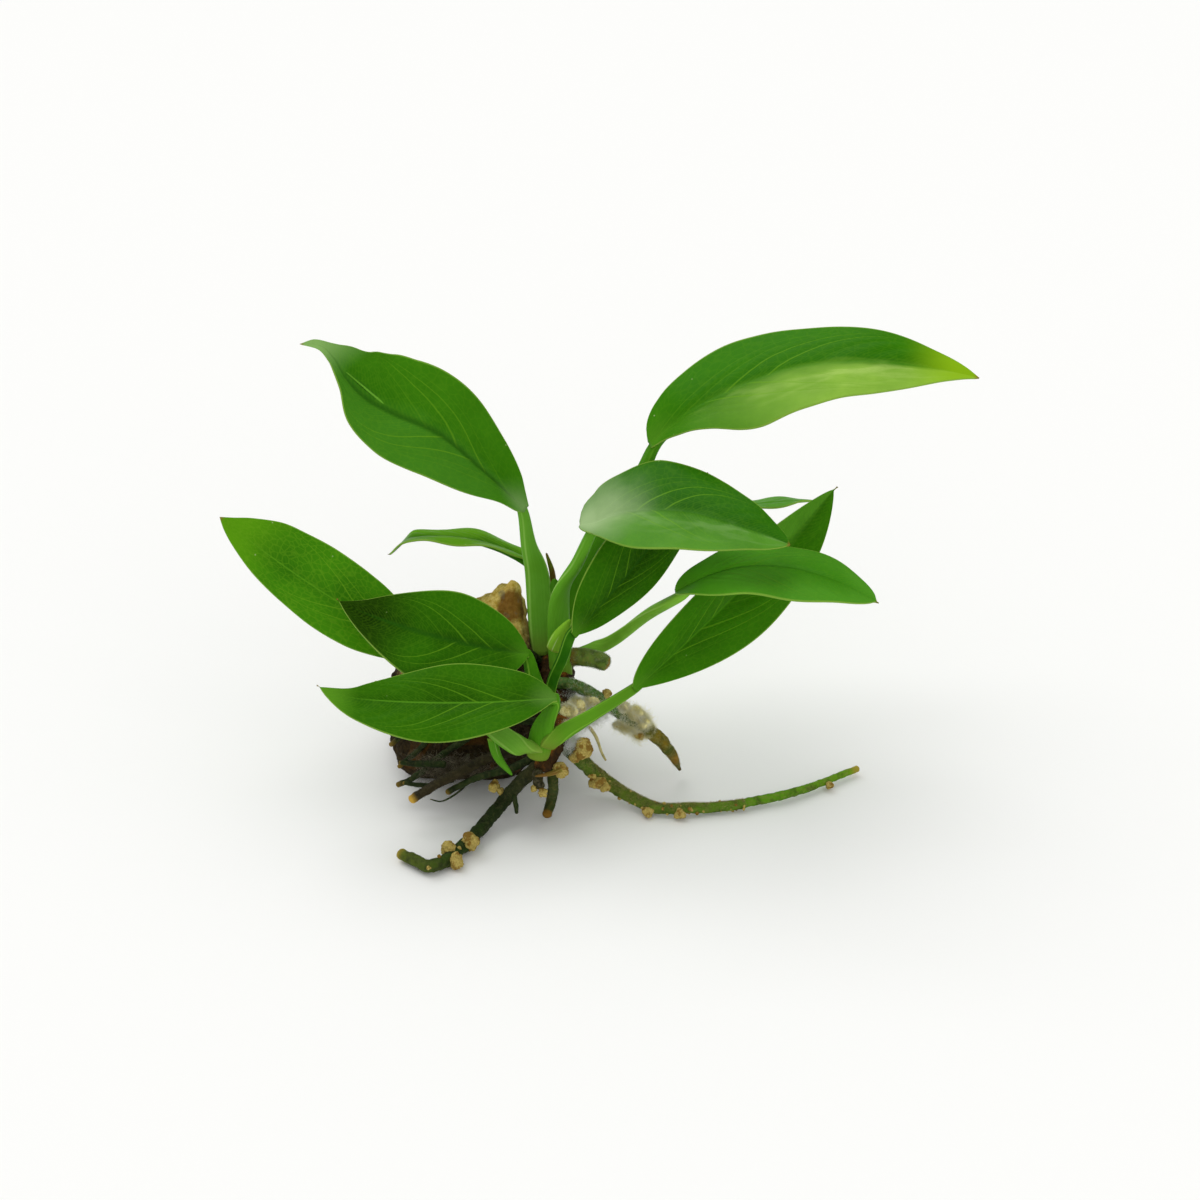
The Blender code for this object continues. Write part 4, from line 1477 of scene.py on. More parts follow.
@dataclass
class Scale:
    """A thin pointed scale: a dry leaf base or a sheath that hangs from the stem."""

    name: str
    points: tuple
    width: float
    face: Point
    finish: StemFinish
    cup: float = 0.35
    node: str | None = None

    def build(self, tissue: bpy.types.Material) -> None:
        """A grid bent along its line, cupped across, and given a wall.

        Args:
            tissue: The finish's material, which scales of one finish share.
        """
        lengthwise, crosswise = SCALE_GRID
        route = smooth_route(self.points, lengthwise + 1)
        obj, u, v = unit_sheet(f"{self.name}_skin", lengthwise, crosswise)
        rows = np.rint(u * lengthwise).astype(int)
        ways = directions(route)
        face = np.array(self.face, float)
        up = face - (ways @ face)[:, None] * ways
        up /= np.linalg.norm(up, axis=1, keepdims=True)
        across = np.cross(ways, up)
        half = self.width / 2 * np.sqrt(np.clip(1 - u, 0, 1)) * (0.55 + 0.9 * u * (1 - u) + 0.2)
        t = 2 * v - 1
        places = (route[rows] + across[rows] * (half * np.sin(t * 1.2))[:, None]
                  - up[rows] * (half * self.cup * 2 * t * t)[:, None])
        move_vertices(obj.data, places)
        edit_mesh(obj, lambda: bpy.ops.mesh.remove_doubles(threshold=MERGE * MM))
        select_only(obj)
        wall = obj.modifiers.new("thickness", "SOLIDIFY")
        wall.thickness = 0.3 * MM
        wall.offset = 0
        bpy.ops.object.modifier_apply(modifier=wall.name)
        sew(obj)
        finish_piece(obj, [tissue], "petiole", *([self.node] if self.node else []))


@dataclass
class Down:
    """A coat of fine hairs all over some lumps, which turns them into tufts of silt and root hair."""

    name: str
    each: int  # hairs on one lump
    length: float  # millimetres
    finish: HairFinish
    radius: float = 0.035

    def build(self, lumps: Sequence["Crumb"], random: np.random.Generator) -> None:
        """Plants hairs that point away from each lump's middle.

        Args:
            lumps: The lumps that it covers.
            random: The plant's random numbers.
        """
        starts, ways = [], []
        for lump in lumps:
            way = random.normal(0, 1, (self.each, 3))
            way /= np.linalg.norm(way, axis=1, keepdims=True)
            sunk = way * lump.radius * 0.9 * np.array(lump.squash, float)
            starts.append(np.array(lump.centre, float) + sunk)
            ways.append(way)
        start, way = np.vstack(starts), np.vstack(ways)
        way = way + random.normal(0, 0.5, way.shape)
        way /= np.linalg.norm(way, axis=1, keepdims=True)
        end = start + way * self.length * random.uniform(0.3, 1.1, (len(way), 1))
        bend = (start + end) / 2 + random.normal(0, self.length * 0.15, way.shape)
        obj = plant_hairs(self.name, start, bend, end, np.full(len(start), self.radius), Strand.STUBBLE)
        finish_piece(obj, [self.finish.material()], "root")


# ---------------------------------------------------------------- studio


@dataclass
class Studio:
    """Pale floor, soft overhead light and the camera."""

    target: Point = (30.5, -6.0, 49.2)
    distance: float = 708.0
    elevation: float = 30.0
    lens: float = 85.0
    floor_tone: str = "#f4f4f2"
    sky_strength: float = 0.62
    key_from: Point = (-0.30, 0.28, 0.91)
    fill_from: Point = (0.25, -0.85, 0.45)

    def build(self) -> None:
        """Makes the floor, the lights and the camera."""
        scene = bpy.context.scene
        scene.view_settings.view_transform = "Standard"
        bpy.ops.object.select_all(action="DESELECT")
        bpy.ops.mesh.primitive_plane_add(size=8, location=(0, 0, -0.0002))
        floor = bpy.context.object
        floor.name = "studio_floor"
        paper = Graph("paper_matt_white")
        floor.data.materials.append(paper.shade(Base_Color=srgb(self.floor_tone), Roughness=0.95,
                                                Specular_IOR_Level=0.1))
        self.sky()
        self.sun("key", self.key_from, strength=1.45, spread=60.0)
        self.sun("front_fill", self.fill_from, strength=0.4, spread=70.0).visible_glossy = False
        data = bpy.data.cameras.new("camera")
        data.lens = self.lens
        data.sensor_width = 36.0
        data.clip_end = 20.0
        camera = bpy.data.objects.new("camera", data)
        scene.collection.objects.link(camera)
        tilt = math.radians(self.elevation)
        back = Vector((0, -math.cos(tilt), math.sin(tilt)))
        camera.location = (Vector(self.target) + back * self.distance) * MM
        camera.rotation_euler = (math.radians(90 - self.elevation), 0, 0)
        scene.camera = camera

    def sky(self) -> None:
        """Even white light from all round, which shows in no reflection."""
        world = bpy.data.worlds.new("studio")
        bpy.context.scene.world = world
        world.use_nodes = True
        light = world.node_tree.nodes["Background"].inputs
        light["Color"].default_value = (1, 1, 1, 1)
        light["Strength"].default_value = self.sky_strength
        world.cycles_visibility.glossy = False

    @staticmethod
    def sun(name: str, toward: Point, strength: float, spread: float) -> bpy.types.Object:
        """A broad distant light.

        Args:
            name: Name of the light.
            toward: The direction from the object to the light.
            strength: Watts a square metre.
            spread: The angle that it fills, in degrees.

        Returns:
            The light's object.
        """
        data = bpy.data.lights.new(name, "SUN")
        data.energy = strength
        data.angle = math.radians(spread)
        light = bpy.data.objects.new(name, data)
        light.rotation_euler = Vector(toward).to_track_quat("Z", "Y").to_euler()
        bpy.context.scene.collection.objects.link(light)
        return light


# ---------------------------------------------------------------- the plant


STEM = StemFinish("common")

LEAVES = (
    Leaf(
        "front_left",
        seat=0.04,
        bows=((16.8, -33.5, 29),),
        neck=(20, -35, 38.5),
        crest=(-8, -41, 40.9),
        tip=(-35, -45, 45.5),
        face=(0.20, -0.56, 0.81),
        left=10.5,
        right=10.2,
        finish=LeafFinish(
            "front_left",
            green="#2c6602",
            shade="#1c4c00",
            midrib="#5c9a20",
            midrib_width=0.04,
            groove=0.12,
            tip_tone="#5a9420",
            tip_reach=0.16,
            # painted sheen at the neck
            neck="#6a9a3c",
        ),
        stem=StemFinish("front_left", green="#5a9820", foot="#3c7a0a"),
        base=(0.9, 0.7),
        end=(0.8, 1.15),
        hook=(-2, 0, 2.5),
        girth=(2.8, 3.2, 2.2),
        shift=(-1.6, -0.4, 1.9),
    ),
    Leaf(
        "far_left",
        seat=0.12,
        bows=((10, -35, 25), (1, -28.5, 29.5)),
        neck=(-8, -21, 41),
        crest=(-36, -16, 56),
        tip=(-62, -12, 76),
        face=(0.22, -0.81, 0.54),
        left=9,
        right=9,
        finish=LeafFinish(
            "far_left",
            green="#3f8408",
            shade="#276404",
            midrib="#5e9c1c",
            midrib_width=0.03,
            groove=0.12,
            net_strength=0.3,
            vein_strength=0.7,
            tip_tone="#5a9a0c",
            tip_reach=0.3,
        ),
        stem=StemFinish("far_left", green="#76ae3e", foot="#579422", lip="#90bc54"),
        base=(0.9, 0.9),
        end=(0.75, 0.6),
        right_edge=(
            (0, 1), (0.15, 5.5), (0.3, 9), (0.4, 10.2), (0.5, 10.8), (0.6, 10.9), (0.7, 10.1),
            (0.8, 8.6), (0.9, 5), (0.96, 2), (1, 0),
        ),
        left_edge=(
            (0, 1), (0.15, 5.5), (0.3, 8.2), (0.4, 8.9), (0.5, 8.8), (0.6, 8.1), (0.7, 7.2),
            (0.8, 5.8), (0.9, 3.6), (0.96, 1.8), (1, 0),
        ),
        girth=(2.2, 2.6, 2.2, 1.5),
        shift=(-1.2, -3.4, 3),
    ),
    Leaf(
        "rising_right",
        seat=0.18,
        bows=((20.2, -35.6, 28), (28, -30.5, 30.3)),
        neck=(39, -24, 34),
        crest=(63.5, -8, 51),
        tip=(89.5, 6, 75),
        face=(0.17, -0.89, 0.43),
        left=7.4,
        right=12,
        finish=LeafFinish(
            "rising_right",
            green="#347404",
            shade="#205600",
            midrib="#4c8a14",
            midrib_width=0.04,
            groove=0.14,
            # painted light: the paler left half toward the tip
            painted_light="#589626",
            painted_light_from=(0.3, 0.75),
            painted_light_side=0.0,
            painted_light_strength=0.8,
        ),
        stem=StemFinish("rising_right", green="#669c26", foot="#4c8412"),
        base=(0.55, 1.1),
        end=(0.75, 0.9),
        girth=(2.2, 2.2, 1.65, 1.5),
        shift=(-1.9, -7, 3.1),
    ),
    Leaf(
        "shaded_left",
        seat=0.32,
        bows=((15, -22, 33),),
        neck=(13, -20, 42),
        crest=(-9, -24.5, 49.5),
        tip=(-32, -28, 61),
        face=(0.41, -0.63, 0.66),
        left=13,
        right=12.5,
        finish=LeafFinish(
            "shaded_left",
            green="#2c6a02",
            shade="#1c4e00",
            # painted shadow: the dark tip half
            tip_tone="#0a1e00",
            tip_reach=0.46,
        ),
        stem=STEM,
        base=(0.8, 0.8),
        end=(0.9, 1.1),
        hook=(-1, 0, 1),
    ),
    Leaf(
        "middle",
        seat=0.42,
        bows=((18.9, -17, 33), (21.3, -17.5, 39.5)),
        neck=(24, -18, 46),
        crest=(40, -6, 60),
        tip=(57, 2, 81),
        face=(0.26, -0.93, 0.28),
        left=10.5,
        right=7.2,
        finish=LeafFinish("middle", green="#2a6600", shade="#164200", midrib_width=0.06),
        stem=StemFinish("middle", green="#2c6a08", foot="#225a06"),
        base=(0.7, 0.9),
        end=(0.8, 0.8),
        girth=(1.5, 1.4, 1.4, 1.4),
        shift=(-3, -3, 2),
    ),
    Leaf(
        "centre",
        seat=0.60,
        bows=((20.4, -5, 49), (25, -6.5, 60.5)),
        neck=(27.6, -8, 71.2),
        crest=(51, -16, 80.5),
        tip=(76, -26, 76),
        face=(-0.18, -0.29, 0.94),
        left=13.6,
        right=14,
        finish=LeafFinish(
            "centre",
            green="#246600",
            shade="#1a5400",
            # painted sheen: the whitish neck
            neck="#a9c48c",
            neck_reach=0.24,
            neck_strength=0.85,
            # painted sheen: the paler right half
            painted_light="#5c9830",
            painted_light_from=(0.0, 0.1),
            painted_light_side=1.0,
            painted_light_strength=0.85,
            midrib="#2a6406",
            midrib_strength=0.45,
            groove=0.18,
            gloss=0.06,
            # painted sheen: pale streaks
            sheen_streaks="#9cc07c",
            sheen_streaks_strength=0.45,
        ),
        stem=StemFinish("centre", green="#70b032", foot="#4f9218", lip="#b0d478"),
        rib=((33, -10, 75.5), (41, -13, 78.6), (52, -16.5, 80), (64, -21.5, 79), (76, -26, 76)),
        left_edge=(
            (0, 1), (0.02, 6), (0.05, 9.5), (0.1, 12), (0.2, 15), (0.3, 16.2), (0.4, 15.5),
            (0.5, 14), (0.6, 11.5), (0.7, 8.9), (0.8, 6.8), (0.9, 4.2), (0.96, 2.2), (1, 0),
        ),
        right_edge=(
            (0, 1), (0.03, 3.5), (0.1, 7.5), (0.2, 11), (0.32, 13.6), (0.45, 14), (0.6, 12),
            (0.75, 9), (0.88, 5.5), (0.95, 2.8), (1, 0),
        ),
        girth=(2.9, 2.9, 2.0, 1.6),
        shift=(0.8, 0, 0),
        lobe=(-2.1, 0, 0.5),
    ),
    Leaf(
        "flat_right",
        seat=0.70,
        bows=((29, 3, 29.6), (34.5, 2, 33.5), (42, -4, 43.6)),
        neck=(49, -14, 56),
        crest=(72, -18, 66),
        tip=(98, -26, 60),
        face=(-0.12, -0.07, 0.99),
        left=9.2,
        right=14,
        finish=LeafFinish(
            "flat_right",
            green="#4a9020",
            shade="#367c0e",
            midrib="#2f6c0c",
            midrib_width=0.05,
            midrib_strength=0.5,
            # painted light lifting the centre leaf's shadow off the base half
            painted_light="#6ac42c",
            painted_light_from=(0.6, 0.3),
            painted_light_strength=0.9,
        ),
        stem=StemFinish("flat_right", green="#94ca4a", foot="#70b42a", lip="#c4e488"),
        base=(0.45, 0.7),
        end=(0.55, 0.7),
        girth=(2.0, 1.8, 1.6, 1.4, 1.4),
    ),
    Leaf(
        "tall_right",
        seat=0.79,
        bows=((23.8, 3, 46.5), (30.3, 4, 60), (40, 5, 77.5)),
        neck=(42.8, 6, 86.5),
        crest=(80, 6, 108),
        tip=(123, 6, 105.5),
        face=(-0.21, -0.43, 0.88),
        left=12.5,
        right=14.2,
        finish=LeafFinish(
            "tall_right",
            green="#307600",
            shade="#266600",
            vein="#6ea41c",
            # painted light: the paler right half, shining through the blade
            painted_light="#9cc64a",
            painted_light_from=(0.0, 0.75),
            painted_light_side=1.0,
            painted_light_strength=0.95,
            midrib="#44860c",
            midrib_strength=0.3,
            groove=0.12,
            # painted light: the bright yellow-green tip
            tip_tone="#8fba10",
            tip_reach=0.24,
            gloss=0.07,
            # painted sheen: pale streaks along the midrib
            sheen_streaks="#c4de7c",
            sheen_streaks_strength=0.6,
        ),
        stem=StemFinish("tall_right", green="#55961a"),
        rib=(
            (48, 6, 92), (54.3, 6, 97), (68.8, 6, 104.5), (80, 6, 108), (96, 6, 109.3),
            (112.5, 6, 107.2), (123, 6, 104.8),
        ),
        left_edge=(
            (0, 1), (0.02, 4.2), (0.05, 6.6), (0.1, 9), (0.2, 12), (0.3, 13.1), (0.4, 12.5),
            (0.5, 11.9), (0.6, 11.3), (0.7, 9.7), (0.8, 7.4), (0.9, 4.5), (0.96, 2.2), (1, 0),
        ),
        right_edge=(
            (0, 1), (0.05, 2.6), (0.1, 4.8), (0.2, 8.9), (0.28, 13.2), (0.34, 15), (0.4, 14.9),
            (0.5, 13.5), (0.6, 11.2), (0.7, 9.8), (0.8, 7.3), (0.9, 3.5), (0.96, 1.2), (1, 0),
        ),
        girth=(2.4, 2.2, 2.1, 2.1, 1.9),
    ),
    Leaf(
        "back_right",
        seat=0.88,
        bows=((30.5, 10, 43),),
        neck=(43, 16, 60),
        crest=(67.5, 20, 62),
        tip=(86, 24, 61.5),
        face=(-0.08, 0.35, 0.93),
        left=9,
        right=7,
        finish=LeafFinish("back_right", green="#5a9a34", shade="#41801c"),
        stem=STEM,
    ),
    Leaf(
        "tall_left",
        seat=0.90,
        bows=((15.6, 1, 38), (14.6, 4, 50.5), (12.6, 4.4, 59)),
        neck=(12, 4, 69.5),
        crest=(-11.5, 0, 91.5),
        tip=(-37, 2, 112.5),
        face=(0.48, -0.73, 0.49),
        left=10.8,
        right=14.8,
        finish=LeafFinish(
            "tall_left",
            green="#387a08",
            shade="#286602",
            # painted sheen: the paler left half
            painted_light="#438220",
            painted_light_from=(0.0, 0.2),
            painted_light_side=0.0,
            painted_light_strength=0.8,
            # painted sheen at the neck
            neck="#8fb46c",
            tip_tone="#8fb86a",
            tip_reach=0.2,
        ),
        stem=StemFinish("tall_left", green="#78b63c", foot="#569622", lip="#9ccc60"),
        rib=(
            (1, 2.5, 82), (-8.6, 0.8, 92), (-19.5, 0, 98), (-26, 0, 102), (-30.7, 0.5, 107),
            (-33.6, 1, 112.3), (-36.6, 1.6, 115.3), (-41.8, 2, 115.7),
        ),
        left_edge=(
            (0, 0.9), (0.03, 2.2), (0.1, 3.7), (0.2, 7.3), (0.3, 10), (0.4, 11.6), (0.5, 11.9),
            (0.6, 11), (0.7, 8), (0.78, 3.2), (0.85, 1.7), (0.92, 1.2), (1, 0),
        ),
        right_edge=(
            (0, 1.2), (0.05, 3.6), (0.1, 6), (0.2, 9.5), (0.3, 12), (0.4, 13.9), (0.5, 15.2),
            (0.6, 15), (0.7, 13.8), (0.78, 11), (0.85, 6.5), (0.91, 2), (0.96, 1.2), (1, 0),
        ),
        girth=(3.2, 3.3, 3.2, 2.2, 1.5),
        shift=(-1, -9, -1.5),
    ),
    Leaf(
        "back_left",
        seat=0.98,
        bows=((15.5, 13.5, 41),),
        neck=(15, 12, 49.5),
        crest=(-4, 16, 55),
        tip=(-23, 16, 54),
        face=(0.15, 0.25, 0.96),
        left=8,
        right=8,
        finish=LeafFinish("back_left", green="#5a9414"),
        stem=STEM,
        end=(0.7, 0.7),
        hook=(-1, 0, -4),
    ),
)

DARK = RootFinish(
    "dark",
    skin="#22330a",
    dark="#0e1604",
    silt="#5c5a34",
    silt_amount=0.3,
    tip="#7c6422",
    tip_from=0.95,
)
DIRTY = RootFinish(
    "dirty",
    skin="#332c14",
    dark="#161508",
    silt="#5c5438",
    silt_amount=0.3,
    tip="#d0a63c",
    tip_from=0.94,
)
FRONT = RootFinish(
    "front",
    dark="#162006",
    silt="#5c5a34",
    silt_amount=0.25,
    tip="#a8922e",
    tip_from=0.955,
    zones=((0.0, "#33310f"), (0.25, "#1e2e08"), (0.7, "#2a4408"), (1.0, "#5c6a14")),
)
PALE = RootFinish("pale", skin="#c9bd80", dark="#8a8440", silt="#d8d0a0", tip="#b08a2e")
BROWN = RootFinish("brown", skin="#33300f", dark="#1c1a08", silt="#6d6650", silt_amount=0.5)
LONG = RootFinish(
    "long",
    dark="#2c3c0a",
    silt="#8f8648",
    tip="#b09a34",
    silt_amount=0.3,
    tip_from=0.955,
    zones=(
        (0.0, "#3c6210"), (0.2, "#556814"), (0.45, "#557410"), (0.7, "#5a9008"), (1.0, "#689608"),
    ),
)
THICK = RootFinish(
    "thick",
    dark="#3a4a16",
    silt="#8d8a4a",
    silt_amount=0.5,
    tip="#5c4410",
    tip_from=0.95,
    zones=(
        (0.0, "#4f7434"), (0.45, "#54783a"), (0.6, "#3f5610"), (0.68, "#7a6a12"), (0.75, "#7f6a14"),
        (0.79, "#40520e"), (0.87, "#a3741a"), (0.95, "#45480e"),
    ),
)

ROOTS = (
    Root(
        "long_right",
        points=(
            (19, -25, 21), (25.5, -25, 14), (30, -23, 8), (37.5, -25.5, 3.4), (46, -28.8, 2.0),
            (61, -27.8, 1.9), (79, -21.8, 1.8), (97, -10, 1.6),
        ),
        radii=(1.7, 1.8, 1.65, 1.45, 1.3, 1.15, 0.8),
        finish=LONG,
    ),
    Root(
        "thick_right",
        points=(
            (18, -11, 27.5), (22, -13.5, 29.5), (26.5, -13.5, 27.4), (31, -13.5, 24.4),
            (37, -14, 20), (44, -15, 15), (48.5, -15, 9.5), (51, -12, 2.4),
        ),
        radii=(1.5, 1.5, 1.55, 1.7, 1.85, 1.5, 0.4),
        finish=THICK,
    ),
    Root(
        "blunt_right",
        points=((19.5, -3, 28.4), (23.5, -5, 31.8), (28, -6, 32.4), (33, -6.6, 30.8)),
        radii=(2.1, 2.2, 2.1),
        finish=RootFinish(
            "blunt",
            dark="#37481a",
            silt="#8a8a3c",
            silt_amount=0.5,
            tip="#a8781e",
            zones=((0.0, "#a0661c"), (0.35, "#9a641c"), (0.5, "#6d8430"), (1.0, "#6d8a34")),
            tip_from=0.93,
        ),
    ),
    Root(
        "long_front",
        points=(
            (15.3, -30.5, 16.5), (13.2, -31, 14), (10, -31, 10.6), (6, -31, 5), (0, -40, 2.1),
            (-6, -50, 2.0), (-11, -54, 2.0), (-15, -51, 1.9), (-19, -48, 1.8),
        ),
        radii=(1.6, 1.7, 1.6, 1.4),
        finish=FRONT,
    ),
    Root(
        "short_front",
        points=((18.2, -31, 17), (18.8, -33, 12), (18.2, -30, 5), (17, -33, 1.9)),
        radii=(1.3, 1.3, 1.2),
        finish=RootFinish("short", skin="#33420e", dark="#1e2a08", tip="#7c5a16", tip_from=0.88),
    ),
    Root(
        "stub_front",
        points=((15.5, -33.5, 17), (15, -35, 14.7), (16, -36.5, 12.8)),
        radii=(1.3, 1.3, 1.1),
        finish=BROWN,
    ),
    Root(
        "left_upper",
        points=(
            (19, -23, 21), (12, -23.5, 17), (5, -24.5, 15), (-2, -27, 13), (-9, -30, 11),
            (-17, -33, 7),
        ),
        radii=(1.5, 1.35, 1.1),
        finish=DIRTY,
    ),
    Root(
        "left_lower",
        points=((18, -28, 19), (11, -27.6, 14.6), (6, -28.3, 12.8), (-1, -29.2, 11), (-8, -31, 8)),
        radii=(1.1, 1.0, 0.75),
        finish=DARK,
    ),
    Root(
        "stone_low",
        points=((18, -20, 22), (5, -20, 22), (-6, -20, 15), (-16, -22, 7), (-21, -23, 5)),
        radii=(1.0, 0.9, 0.65),
        finish=DARK,
        on_stone=True,
    ),
    Root(
        "stone_middle",
        points=((19, -15, 23.5), (6, -15, 28), (-6, -17, 22), (-15, -17, 12), (-20.5, -21, 9)),
        radii=(1.0, 0.9, 0.6),
        finish=DARK,
        on_stone=True,
    ),
    Root(
        "stone_high",
        points=((19.5, -10, 24.5), (5, -10, 30), (-9, -11, 26), (-18, -12, 15), (-23, -14, 11)),
        radii=(1.0, 0.9, 0.65),
        finish=DARK,
        on_stone=True,
    ),
    Root(
        "rootlet_pale",
        points=((27, -17, 20), (29, -18, 17), (31, -18.5, 12), (32, -18.5, 9.5)),
        radii=(0.45, 0.4, 0.25),
        finish=PALE,
        extra=True,
    ),
    Root(
        "rootlet_front",
        points=((9.0, -32, 8.5), (9.4, -33, 6), (9.7, -33.6, 3.5)),
        radii=(0.7, 0.6, 0.45),
        finish=DARK,
        extra=True,
    ),
    Root(
        "rootlet_left_a",
        points=((-2, -28, 10), (-5, -29.5, 7), (-9, -30.5, 5.5), (-12, -31, 6.2)),
        radii=(0.3, 0.25, 0.15),
        finish=DARK,
        extra=True,
    ),
    Root(
        "rootlet_left_b",
        points=((-6, -26, 9), (-13, -27, 7.5), (-19, -27, 8.4)),
        radii=(0.8, 0.7, 0.5),
        finish=DARK,
        extra=True,
    ),
    Root(
        "rootlet_left_c",
        points=((-8, -24, 12), (-15, -24, 12), (-20, -24, 12.5)),
        radii=(0.9, 0.8, 0.5),
        finish=DARK,
        extra=True,
    ),
    Root(
        "stone_top",
        points=(
            (18.5, -1, 27.5), (8, -4, 33), (-4, -4, 31), (-14, -4, 28), (-22, -6, 25.5),
            (-27, -7, 25),
        ),
        radii=(1.0, 1.0, 0.75),
        finish=DARK,
        on_stone=True,
    ),
)

CRUMBS = (
    Crumb("crumb_collar", (26.5, -26.5, 18), 2.75, node="crumb_collar"),
    Crumb("crumb_tip", (20.5, -31.5, 15.5), 2.25, node="crumb_tip"),
    Crumb("crumb_right_a", (29.8, -24.8, 7.0), 2.0, node="crumb_right_a"),
    Crumb("crumb_right_b", (42.5, -29.7, 1.6), 1.5, node="crumb_right_b"),
    Crumb("crumb_right_c", (50.5, -30.9, 1.6), 1.4, node="crumb_right_c"),
    Crumb("crumb_right_d", (89, -17.4, 1.4), 1.1, node="crumb_right_d"),
    Crumb("crumb_front_a", (-1.3, -45.2, 3.4), 2.1, node="crumb_front_a"),
    Crumb("crumb_front_b", (-6.8, -48.0, 3.6), 1.9, node="crumb_front_b"),
    Crumb("crumb_front_c", (-4.8, -51.8, 2.2), 1.9, node="crumb_front_c"),
    Crumb("crumb_left", (4, -28.8, 8.6), 1.5, node="crumb_left"),
    Crumb("crumb_thick_a", (32.2, -13, 26.2), 1.3, node="crumb_thick_a"),
    Crumb("crumb_thick_b", (39.5, -14, 20.2), 2.0, node="crumb_thick_b"),
    Crumb("crumb_thick_c", (40.5, -15.8, 15.3), 1.3, node="crumb_thick_c"),
    Crumb("crumb_stub_a", (14.2, -36.2, 13.0), 1.0),
    Crumb("crumb_stub_b", (16.4, -37.0, 12.2), 1.1),
    Crumb("crumb_left_b", (5.6, -29.6, 7.6), 1.0),
    Crumb("crumb_right_e", (31.8, -25.6, 6.2), 1.3),
    Crumb("crumb_right_f", (28.6, -24.6, 9.2), 1.1),
    Crumb("crumb_collar_b", (24.2, -27.6, 16.6), 1.4),
)

GREY_HAIR = HairFinish("root_hair_grey", "#a9c498", "#f0f4e4")
TAN_HAIR = HairFinish("root_hair_silted", "#8f8a4c", "#b4aa6c")
WHITE_HAIR = HairFinish("root_hair_white", "#dde4d2", "#ffffff")
OLIVE_HAIR = HairFinish("root_hair_olive", "#6f8440", "#b4c690")
CREAM_HAIR = HairFinish("root_hair_cream", "#e6e0a8", "#fbf9e0")
DARK_HAIR = HairFinish("root_hair_dark", "#2e2e1c", "#5a583e")

FUZZ = (
    Fuzz(
        "hairs_thick_near",
        host="thick_right",
        stretch=(0.12, 0.5),
        count=5500,
        length=0.5,
        finish=GREY_HAIR,
        clump=0.3,
    ),
    Fuzz(
        "hairs_thick_middle",
        host="thick_right",
        stretch=(0.46, 0.66),
        count=7000,
        length=1.2,
        finish=CREAM_HAIR,
        lift=0.8,
        clump=0.35,
    ),
    Fuzz(
        "hairs_thick_far",
        host="thick_right",
        stretch=(0.64, 0.95),
        count=2500,
        length=0.4,
        finish=TAN_HAIR,
    ),
    Fuzz(
        "hairs_blunt",
        host="blunt_right",
        stretch=(0.3, 1.0),
        count=7000,
        length=0.6,
        finish=OLIVE_HAIR,
    ),
    Fuzz(
        "hairs_long",
        host="long_right",
        stretch=(0.10, 0.62),
        count=9000,
        length=0.55,
        finish=TAN_HAIR,
        facing=(0, 0.2, 1),
    ),
    Fuzz(
        "hairs_left_upper",
        host="left_upper",
        stretch=(0.3, 0.95),
        count=1300,
        length=0.4,
        finish=DARK_HAIR,
    ),
    Fuzz(
        "hairs_long_front",
        host="long_front",
        stretch=(0.1, 0.9),
        count=2600,
        length=0.45,
        finish=DARK_HAIR,
    ),
    Fuzz(
        "hairs_short_front",
        host="short_front",
        stretch=(0.2, 0.95),
        count=1200,
        length=0.4,
        finish=DARK_HAIR,
    ),
)

WEBS = (
    Web(
        "felt_between_roots",
        corners=((20, -14, 27), (20, -20, 20), (25, -19, 19), (34, -15.5, 22), (28, -14, 24)),
        count=7500,
        finish=WHITE_HAIR,
        reach=3.0,
        radius=0.042,
    ),
    Web(
        "felt_on_thick_root",
        corners=((37.5, -14, 22), (42.5, -14, 19), (40, -14, 19)),
        count=1600,
        finish=CREAM_HAIR,
        reach=3.0,
    ),
    Web(
        "felt_under_thick_root",
        corners=((35, -15, 17.5), (41, -16, 14.5)),
        count=900,
        finish=CREAM_HAIR,
        reach=2.2,
        depth=1.0,
    ),
    Web(
        "silt_on_stone",
        corners=((-18, -21.5, 13), (5, -23, 13), (-14, -24, 8), (0, -25, 9)),
        count=1800,
        finish=HairFinish("root_hair_silt", "#57503c", "#8f8874"),
        reach=2.6,
        depth=1.4,
    ),
    Web(
        "felt_at_collar",
        corners=((19, -27, 18), (24, -26, 19), (24, -25, 22)),
        count=1500,
        finish=WHITE_HAIR,
        reach=3.0,
    ),
)


LUMPS = (
    Crumb("wool_right_a", (39.5, -15.2, 21.6), 1.6),
    Crumb("wool_right_b", (41.6, -15.6, 19.4), 1.5),
    Crumb("wool_right_c", (36.6, -15, 23.2), 1.1),
    Crumb("wool_under_a", (36.4, -14.6, 17.6), 1.3, squash=(1.9, 0.8, 0.6)),
    Crumb("wool_under_b", (40.2, -15.2, 16.4), 0.9),
    Crumb("wool_inner_a", (24.6, -17, 24.8), 2.2, squash=(1.1, 0.8, 1)),
    Crumb("wool_inner_b", (22.2, -20.4, 25.2), 2.2, squash=(1.1, 0.8, 1)),
    Crumb("wool_inner_c", (28, -15.6, 24.8), 1.7, squash=(1.3, 0.8, 0.9)),
    Crumb("wool_inner_d", (21.8, -24.2, 22.4), 2.3, squash=(1, 0.8, 1)),
)


GRITS = (
    Grit("grit_long_right", host="long_right", stretch=(0.16, 0.62), count=55, size=(0.15, 0.5)),
    Grit("grit_long_front", host="long_front", stretch=(0.5, 0.85), count=14, size=(0.2, 0.6)),
)

SHEATH = StemFinish("scale", green="#5f9c28", foot="#448412", lip="#a9cc70")
SHOOT = StemFinish("shoot", green="#93c43c", foot="#6fae1c", lip="#d4e6a0")
DRY = StemFinish("dry", green="#8a6a34", foot="#5c3f18", lip="#b59a5c")

